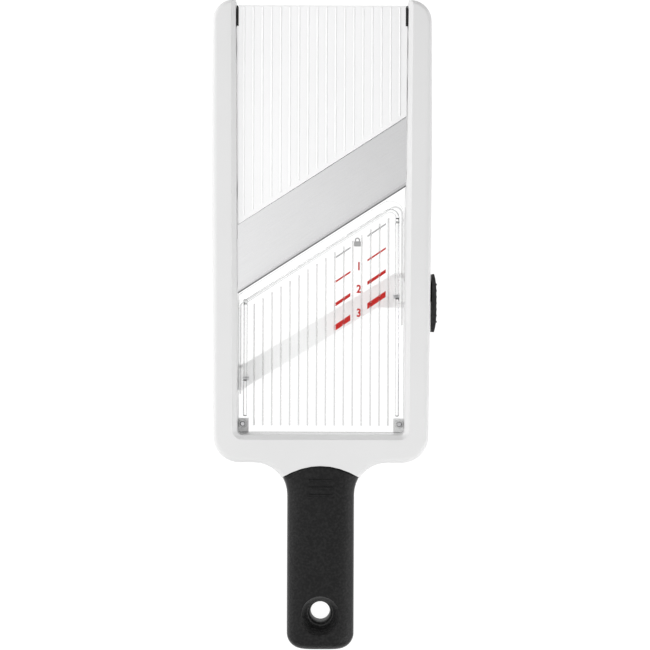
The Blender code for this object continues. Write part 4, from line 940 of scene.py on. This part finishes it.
def skirt_and_slot(side):
    """One side skirt and the tool that cuts its sloping slot."""
    pin = PIN_STATIONS[side]
    under = PIN_Z - PIN_REACH - SKIRT_UNDER_SLOT
    near = RAMP_NEAR_Y + SKIRT_NEAR
    far = pin + TRAVEL + SKIRT_PAST_SLOT
    outline = [
        (near, RAMP_UNDER + MM, 0),
        (near, under + MM, 0.6 * MM),
        (pin - 6 * MM, under + MM, 0),
        (pin, under, 0),
        (pin + TRAVEL, under - RAMP_RISE, 0),
        (far, under - RAMP_RISE, 0.8 * MM),
        (far, RAMP_UNDER + MM, 0),
    ]
    ends = sorted(side * x for x in SKIRT_X)
    wall = side_slab("skirt", rounded(outline, 4), ends, SKIRT_EASE)
    slot = slot_outline(pin, PIN_Z, pin + TRAVEL, PIN_Z - RAMP_RISE, PIN_REACH)
    return wall, side_slab("slot", slot, (ends[0] - MM, ends[1] + MM))


RAMP_BLADE_GAP = 0.6 * MM
ramp_corners = [
    (-RAMP_HALF, RAMP_NEAR_Y, 2 * MM),
    (RAMP_HALF, RAMP_NEAR_Y, 2 * MM),
    (RAMP_HALF, behind_edge(RAMP_HALF, -RAMP_BLADE_GAP), 8 * MM),
    (-RAMP_HALF, behind_edge(-RAMP_HALF, -RAMP_BLADE_GAP), 1.5 * MM),
]
clear_ramp = slab("clear_ramp", rounded(ramp_corners, 14), RAMP_UNDER, RAMP_TOP, 0.6 * MM)
walls, slots, bosses, bores = [], [], [], []
for side in (-1, 1):
    wall, slot = skirt_and_slot(side)
    walls.append(wall)
    slots.append(slot)
    spot = (side * POST_SPOT[0], POST_SPOT[1])
    boss = [(2.3 * MM, 9 * MM), (2.45 * MM, RAMP_UNDER + MM)]
    bosses.append(turned_solid("guide_boss", boss, spot, 48))
    bores.append(turned_solid("guide_bore", [(1.5 * MM, 8 * MM), (1.5 * MM, RAIL_TOP)], spot, 48))
HOOK_END_Y = 61 * MM
STIFFENER_LEFT = -sum(SKIRT_X) / 2
STIFFENER_BACK = -6.8 * MM
STIFFENER_FRONT = -5 * MM
stiffener = [
    (STIFFENER_LEFT, behind_edge(STIFFENER_LEFT, STIFFENER_BACK), 0),
    (SKIRT_X[0], behind_edge(SKIRT_X[0], STIFFENER_BACK), 3.2 * MM),
    (SKIRT_X[0], HOOK_END_Y, 0),
    (SKIRT_X[1], HOOK_END_Y, 0),
    (SKIRT_X[1], behind_edge(SKIRT_X[1], STIFFENER_FRONT), 5.2 * MM),
    (STIFFENER_LEFT, behind_edge(STIFFENER_LEFT, STIFFENER_FRONT), 0),
]
front_skirt = slab("front_skirt", rounded(stiffener, 8), RAMP_UNDER - 4.2 * MM, RAMP_UNDER + MM, SKIRT_EASE)
RIM_RISE = 0.35 * MM
RIM_OUT = 47.2 * MM
RIM_THICK = 0.8 * MM
RIM_IN = RIM_OUT - RIM_THICK
RIM_FRONT = -5.5 * MM
RIM_BACK = RIM_FRONT - RIM_THICK
RIM_LEFT_END_Y = -40 * MM
rim_path = [
    (-RIM_IN, behind_edge(-RIM_IN, RIM_BACK), 1.5 * MM),
    (RIM_IN, behind_edge(RIM_IN, RIM_BACK), 3.6 * MM),
    (RIM_IN, 0, 0),
    (RIM_OUT, 0, 0),
    (RIM_OUT, behind_edge(RIM_OUT, RIM_FRONT), 4.4 * MM),
    (-RIM_OUT, behind_edge(-RIM_OUT, RIM_FRONT), 2.3 * MM),
    (-RIM_OUT, RIM_LEFT_END_Y, 0),
    (-RIM_IN, RIM_LEFT_END_Y, 0),
]
top_rim = slab("top_rim", rounded(rim_path, 8), RAMP_TOP - MM, RAMP_TOP + RIM_RISE, 0.2 * MM)
RAMP_RIB_HEIGHT = 1.6 * MM
ramp_ribs = grown(
    "ramp_ribs",
    ribs_tree,
    {
        "Count": 16,
        "Pitch": 5.19 * MM,
        "Width": 0.9 * MM,
        "Height": RAMP_RIB_HEIGHT,
        "Crown": 0.44 * MM,
        "Near Y": -58.3 * MM,
        "Far Y": EDGE_MID_Y - 11.6 * MM,
        "Far Slope": BLADE_SLOPE,
        "Level": RAMP_TOP + RIB_RISE - RAMP_RIB_HEIGHT / 2,
        "Material": ramp_clear,
    },
)
added = (gathered("skirts", walls), front_skirt, gathered("bosses", bosses), top_rim, ramp_ribs)
combine(clear_ramp, "UNION", *added)
combine(clear_ramp, "DIFFERENCE", gathered("slots", slots), gathered("bores", bores))
hand_over(clear_ramp, "ramp", "clear_plastic", ramp_clear, ["ramp"])
clear_ramp.data.materials.append(ramp_shade_tinted)
RIM_WIDTH = 1.0 * MM
NEAR_LINE_HALF = 42 * MM
CLEAR_STRIP = -8 * MM
CLEAR_HALF = 41 * MM
# These faces take the darker mix, whose grey is painted shade: rib crowns, the near rim and the side skirts'
# lower edges.
for face in clear_ramp.data.polygons:
    x, y, z = face.center
    across = x - CENTRE_X
    tilted = 0.15 < abs(face.normal.z) < 0.97
    ahead = (y - behind_edge(across, 0)) * math.cos(BLADE_ANGLE)
    raised = z > RAMP_TOP + 0.03 * MM
    on_rib = raised and (ahead < CLEAR_STRIP or abs(across) > CLEAR_HALF)
    at_near_end = y < RAMP_NEAR_Y + RIM_WIDTH and abs(across) < NEAR_LINE_HALF
    near_rim = at_near_end and abs(face.normal.z) < 0.97
    under_plate = z < RAMP_UNDER - 1.5 * MM and tilted
    on_side_skirt = abs(across) > SKIRT_X[0] - 0.1 * MM and y > RAMP_NEAR_Y + 9 * MM
    skirt_edge = under_plate and on_side_skirt
    if on_rib or near_rim or skirt_edge:
        face.material_index = 1
print("smoky faces:", sum(face.material_index for face in clear_ramp.data.polygons))

# %% [markdown]
# ## The thickness bar, its pins and the small steel
# Under the ramp a pale bar slides with the side grip. Two pins in its end blocks lift the ramp.
# These pieces are mostly hidden, so welded copies of the solids, eased and finished, are enough.

# %% Bar, pins, posts, spring and screws
hand_over_copy("thickness_bar", "setting_bar", 0.3, "slider", "bar_plastic", bar_pale)
SMALL_STEEL = {
    "bar_pin_left": "slider",
    "bar_pin_right": "slider",
    "side_grip_screw": "slider",
    "guide_post_left": "body",
    "guide_post_right": "body",
}
for number in range(1, 5):
    SMALL_STEEL[f"plate_screw_{number}"] = "body"
    SMALL_STEEL[f"blade_screw_{number}"] = "body"
for node, body in SMALL_STEEL.items():
    hand_over_copy(node, node + "_steel", 0.12, body, "fastener_steel", turned_steel)
hand_over_copy("detent_spring", "spring_strip", 0.05, "slider", "spring_steel", spring_steel, sharp=50.0)

# %% [markdown]
# ## The side grip and the feet
# The black finger grip outside the right rail is crowned and ribbed for the thumb. The feet are
# soft rubber with a thin fin that stands beside the landing plate.

# %% Side grip and feet
hand_over_copy("side_grip", "finger_grip", 0.45, "slider", "side_grip_plastic", side_black, angle=30.0)
for side in ("left", "right"):
    hand_over_copy("foot_" + side, "rubber_foot_" + side, 0.3, "body", "foot_rubber", foot_black)

# %% [markdown]
# ## The handle grip
# The grip is a soft moulding whose section is a rounded rectangle with a slight crown, narrowing
# in round corners at its end and starting in a curved front over the neck. That is a rule, not
# a set of corners: every ring is a superellipse, and a few sizes say how rings change along
# the handle. A geometry tree bends a plain cylinder into it. Rooms for the neck and tang and
# the dished hanging hole are cut afterwards.

# %% Geometry tree: lofted grip
grip_tree, given, leaves = new_group(
    "lofted_grip",
    "GeometryNodeTree",
    [
        ("Around", "NodeSocketInt", 128),
        ("Along", "NodeSocketInt", 170),
        ("Half Width", FLOAT, 0.0194),
        ("Half Height", FLOAT, 0.0123),
        ("Section Power", FLOAT, 3.6),
        ("Flare", FLOAT, 0.0028),
        ("Flare Run", FLOAT, 0.014),
        ("End Corner", FLOAT, 0.0095),
        ("End Edge", FLOAT, 0.007),
        ("Front Edge", FLOAT, 0.0009),
        ("Front Y", FLOAT, -0.0813),
        ("Front Sag", FLOAT, 0.0066),
        ("Sag Reach", FLOAT, 0.0222),
        ("End Y", FLOAT, -0.1875),
        ("Material", "NodeSocketMaterial", None),
    ],
    [("Geometry", "NodeSocketGeometry")],
)
grip_tree.is_modifier = True


def grip_sum(operation, *values, clamp=False):
    """One Math node of the grip's tree."""
    return calc(grip_tree, operation, *values, clamp=clamp)


def in_grip(kind, settings=None, **inputs):
    """One other node of the grip's tree; returns its results."""
    return put(grip_tree, kind, settings, **inputs).outputs


CAP_SHARE = 0.1
fine_tube = {"Vertices": given["Around"], "Side_Segments": given["Along"], "Radius": 1.0, "Depth": 2.0}
tube = in_grip("GeometryNodeMeshCylinder", {"fill_type": "NGON"}, **fine_tube)
spot = in_grip("ShaderNodeSeparateXYZ", Vector=in_grip("GeometryNodeInputPosition")[0])
angle = grip_sum("ARCTAN2", spot["Y"], spot["X"])
share = grip_sum("MULTIPLY_ADD", spot["Z"], 0.5, 0.5)
closing = grip_sum("MULTIPLY_ADD", grip_sum("DIVIDE", share, CAP_SHARE, clamp=True), 0.97, 0.03)
run = grip_sum("DIVIDE", grip_sum("SUBTRACT", share, CAP_SHARE), 1 - CAP_SHARE, clamp=True)
half_turn = grip_sum("COSINE", grip_sum("MULTIPLY", run, math.pi))
eased = grip_sum("MULTIPLY_ADD", half_turn, -0.5, 0.5)
grip_length = grip_sum("SUBTRACT", given["Front Y"], given["End Y"])
from_front = grip_sum("MULTIPLY", grip_length, eased)
from_end = grip_sum("SUBTRACT", grip_length, from_front)


def inset(distance, radius):
    """How far a quarter-round edge of this radius draws in, this far from its end."""
    short = grip_sum("SUBTRACT", radius, grip_sum("MINIMUM", distance, radius))
    chord = grip_sum("SUBTRACT", grip_sum("MULTIPLY", radius, radius), grip_sum("MULTIPLY", short, short))
    return grip_sum("SUBTRACT", radius, grip_sum("SQRT", grip_sum("MAXIMUM", chord, 0.0)))


def lobe(wave):
    """The superellipse's share of the half size for this sine or cosine."""
    power = grip_sum("DIVIDE", 2.0, given["Section Power"])
    return grip_sum("MULTIPLY", grip_sum("SIGN", wave), grip_sum("POWER", grip_sum("ABSOLUTE", wave), power))


front_inset = inset(from_front, given["Front Edge"])
flaring = grip_sum("SUBTRACT", 1.0, grip_sum("DIVIDE", from_front, given["Flare Run"]), clamp=True)
curling = grip_sum("MULTIPLY", flaring, flaring)
wide = grip_sum("MULTIPLY_ADD", given["Flare"], curling, given["Half Width"])
narrowed = grip_sum("SUBTRACT", wide, inset(from_end, given["End Corner"]))
half_wide = grip_sum("SUBTRACT", narrowed, front_inset)
lowered = grip_sum("SUBTRACT", given["Half Height"], inset(from_end, given["End Edge"]))
half_high = grip_sum("SUBTRACT", lowered, front_inset)
ring_x = grip_sum("MULTIPLY", grip_sum("MULTIPLY", half_wide, closing), lobe(grip_sum("COSINE", angle)))
ring_z = grip_sum("MULTIPLY", grip_sum("MULTIPLY", half_high, closing), lobe(grip_sum("SINE", angle)))
bow = grip_sum("POWER", grip_sum("DIVIDE", grip_sum("ABSOLUTE", ring_x), given["Sag Reach"]), 2.0)
front_y = grip_sum("SUBTRACT", given["Front Y"], grip_sum("MULTIPLY", bow, given["Front Sag"]))
ring_y = grip_sum("MULTIPLY_ADD", grip_sum("SUBTRACT", given["End Y"], front_y), eased, front_y)
lifted = grip_sum("ADD", ring_z, given["Half Height"])
bent = in_grip("ShaderNodeCombineXYZ", X=ring_x, Y=ring_y, Z=lifted)[0]
shaped = in_grip("GeometryNodeSetPosition", Geometry=tube["Mesh"], Position=bent)[0]
whole = in_grip("GeometryNodeRealizeInstances", Geometry=shaped)[0]
painted = in_grip("GeometryNodeSetMaterial", Geometry=whole, Material=given["Material"])[0]
feed(grip_tree, leaves[0], painted)
print("grip tree:", len(grip_tree.nodes), "nodes")

# %% [markdown]
# ## Cutting the grip
# The neck of the frame lies under the grip's front and its tang runs down inside, so both need
# room. The hanging hole is turned, not drilled: a deep rounded dish above, a narrow bore, and a
# shallower dish below. Three low ribs across the front are for the thumb.

# %% Grip solid
NECK_END_Y = -104.3 * MM
NECK_ROOM_TOP = 16.3 * MM
TANG_ROOM_UNDER = 5.7 * MM
TANG_ROOM_HALF = 13.3 * MM
TANG_ROOM_CORNER = 8 * MM
SLEEVE_RADIUS = 8.05 * MM
THUMB_RIBS_Y = -93.5 * MM
HOLE_Y = HANDLE_Y + 20.4 * MM
TANG_END_Y = HOLE_Y - 12.3 * MM
GRIP_HEIGHT = 24.6 * MM
soft_grip = grown("soft_grip", grip_tree, {"Material": grip_black})
bm = bmesh.new()
bm.from_mesh(soft_grip.data)
bmesh.ops.recalc_face_normals(bm, faces=bm.faces)
bm.to_mesh(soft_grip.data)
bm.free()
beside, ahead, below = 40 * MM, -60 * MM, -10 * MM
neck_room = block("neck_room", (-beside, beside), (NECK_END_Y, ahead), (below, NECK_ROOM_TOP))
room = [
    (-TANG_ROOM_HALF, NECK_END_Y + MM, 0),
    (-TANG_ROOM_HALF, TANG_END_Y, TANG_ROOM_CORNER),
    (TANG_ROOM_HALF, TANG_END_Y, TANG_ROOM_CORNER),
    (TANG_ROOM_HALF, NECK_END_Y + MM, 0),
]
tang_room = slab("tang_room", rounded(room), TANG_ROOM_UNDER, NECK_ROOM_TOP)
sleeve = turned_solid("sleeve", [(SLEEVE_RADIUS, 0), (SLEEVE_RADIUS, GRIP_HEIGHT)], (0, HOLE_Y), 64)
combine(tang_room, "DIFFERENCE", sleeve)
# Radius and height down the middle of the upper dish and of the lower one, both in millimetres.
UPPER_DISH = [
    (12.2, 26.2),
    (11.25, 24.5),
    (10.9, 23.2),
    (10.2, 21.2),
    (9.3, 19.0),
    (8.4, 17.2),
    (7.6, 15.8),
    (7.3, 15.0),
    (7.1, 13.5),
    (6.3, 12.6),
    (5.9, 11.0),
    (5.65, 9.0),
]
LOWER_DISH = [
    (5.65, 4.0),
    (5.75, 3.4),
    (6.05, 2.95),
    (6.6, 2.65),
    (7.3, 2.55),
    (8.5, 2.35),
    (9.7, 1.85),
    (10.7, 1.0),
    (11.25, 0.1),
    (12.2, -1.6),
]
upper = [(r * MM, z * MM) for r, z in reversed(UPPER_DISH)]
lower = [(r * MM, z * MM) for r, z in reversed(LOWER_DISH)]
bore = turned_solid("bore", lower + upper, (0, HOLE_Y))
combine(soft_grip, "DIFFERENCE", neck_room, tang_room, bore)
thumb_ribs = grown(
    "thumb_ribs",
    ribs_tree,
    {
        "Count": 3,
        "Pitch": 4.2 * MM,
        "Width": 1.4 * MM,
        "Height": 2.4 * MM,
        "Crown": 0.5 * MM,
        "Near Y": -7 * MM,
        "Far Y": 7 * MM,
        "Level": 24.0 * MM,
        "Material": grip_black,
    },
)
for vertex in thumb_ribs.data.vertices:
    x, y, z = vertex.co
    vertex.co = (-y, x + THUMB_RIBS_Y, z)
combine(soft_grip, "UNION", thumb_ribs)
hand_over(soft_grip, "body", "black_soft", grip_black, ["handle_grip"])

# %% [markdown]
# ## The printed marks
# A padlock and three numbers show the settings, with a pair of slanted bars beside each that
# grow thicker with the slice. They are printed under the clear ramp, where food can't wear
# them, and they move with it. Each is a flat outline given the thickness of ink.

# %% Printed marks
INK_TOP = RAMP_UNDER + 0.02 * MM
INK_UNDER = RAMP_UNDER - 0.02 * MM
MARK_SLOPE = 0.6725
MARK_LEFT = (8.1 * MM, 16.9 * MM)
MARK_RIGHT = (26.7 * MM, 37.4 * MM)
MARK_MIDDLE = 21.8 * MM
ROW_DROPS = [0, 14.1 * MM, 27.35 * MM, 40.7 * MM]
ROW_HEIGHTS = [0.95 * MM, 1.1 * MM, 2.1 * MM, 3.5 * MM]
MARK_START_Y = 41.8 * MM
MARK_START_X = 12.04 * MM
DIGIT_HEIGHT = 4.5 * MM


def mark_bar(name, ends, row):
    """One slanted bar of a row, between two values of X."""
    near, far = ends
    left, right = [MARK_START_Y - ROW_DROPS[row] + (x - MARK_START_X) * MARK_SLOPE for x in ends]
    half = ROW_HEIGHTS[row] / 2
    outline = [(near, left - half), (far, right - half), (far, right + half), (near, left + half)]
    return slab(name, outline, INK_UNDER, INK_TOP)


def printed_digit(text, centre):
    """A digit as a thin mesh, centred on a point."""
    curve = bpy.data.curves.new("digit", "FONT")
    curve.body = text
    curve.size = DIGIT_HEIGHT / 0.7
    curve.extrude = (INK_TOP - INK_UNDER) / 2
    curve.offset = 0.22 * MM
    shape = held("digit", curve)
    graph = bpy.context.evaluated_depsgraph_get()
    mesh = bpy.data.meshes.new_from_object(shape.evaluated_get(graph))
    bpy.data.objects.remove(shape)
    low = Vector((min(v.co.x for v in mesh.vertices), min(v.co.y for v in mesh.vertices), 0))
    high = Vector((max(v.co.x for v in mesh.vertices), max(v.co.y for v in mesh.vertices), 0))
    middle = (low + high) / 2
    for vertex in mesh.vertices:
        vertex.co.x = (vertex.co.x - middle.x) * 0.85 + centre[0]
        vertex.co.y = vertex.co.y - middle.y + centre[1]
        vertex.co.z += (INK_TOP + INK_UNDER) / 2
    return held("digit_" + text, mesh)


def arch(centre, radius, width, rise):
    """The outline of a padlock's shackle: a half ring on two short legs."""
    x, y = centre
    inner = radius - width
    steps = 14
    angles = [math.pi * k / steps for k in range(steps + 1)]
    over = [(x + radius * math.cos(a), y + rise + radius * math.sin(a)) for a in angles]
    under = [(x + inner * math.cos(a), y + rise + inner * math.sin(a)) for a in reversed(angles)]
    return [(x + radius, y), *over, (x - radius, y), (x - inner, y), *under, (x + inner, y)]


LOCK_X = 20.9 * MM
LOCK_HALF = 2.05 * MM
LOCK_UNDER_Y = 45.7 * MM
LOCK_TOP_Y = 48.7 * MM
lock_body = [
    (LOCK_X - LOCK_HALF, LOCK_UNDER_Y, 0.4 * MM),
    (LOCK_X + LOCK_HALF, LOCK_UNDER_Y, 0.4 * MM),
    (LOCK_X + LOCK_HALF, LOCK_TOP_Y, 0.4 * MM),
    (LOCK_X - LOCK_HALF, LOCK_TOP_Y, 0.4 * MM),
]
shackle = arch((LOCK_X, LOCK_TOP_Y), 1.5 * MM, 0.75 * MM, 0.7 * MM)
grey_marks = [mark_bar("bar", MARK_LEFT, 0), mark_bar("bar", MARK_RIGHT, 0)]
grey_marks.append(slab("lock_body", rounded(lock_body, 4), INK_UNDER, INK_TOP))
grey_marks.append(slab("shackle", shackle, INK_UNDER, INK_TOP))
red_marks = []
for row in (1, 2, 3):
    red_marks += [mark_bar("bar", MARK_LEFT, row), mark_bar("bar", MARK_RIGHT, row)]
for text, y in (("1", 34.3), ("2", 21.1), ("3", 7.2)):
    red_marks.append(printed_digit(text, (MARK_MIDDLE, y * MM)))
hand_over(gathered("grey_setting_marks", grey_marks), "ramp", "clear_plastic", grey_ink)
hand_over(gathered("red_setting_marks", red_marks), "ramp", "clear_plastic", red_ink)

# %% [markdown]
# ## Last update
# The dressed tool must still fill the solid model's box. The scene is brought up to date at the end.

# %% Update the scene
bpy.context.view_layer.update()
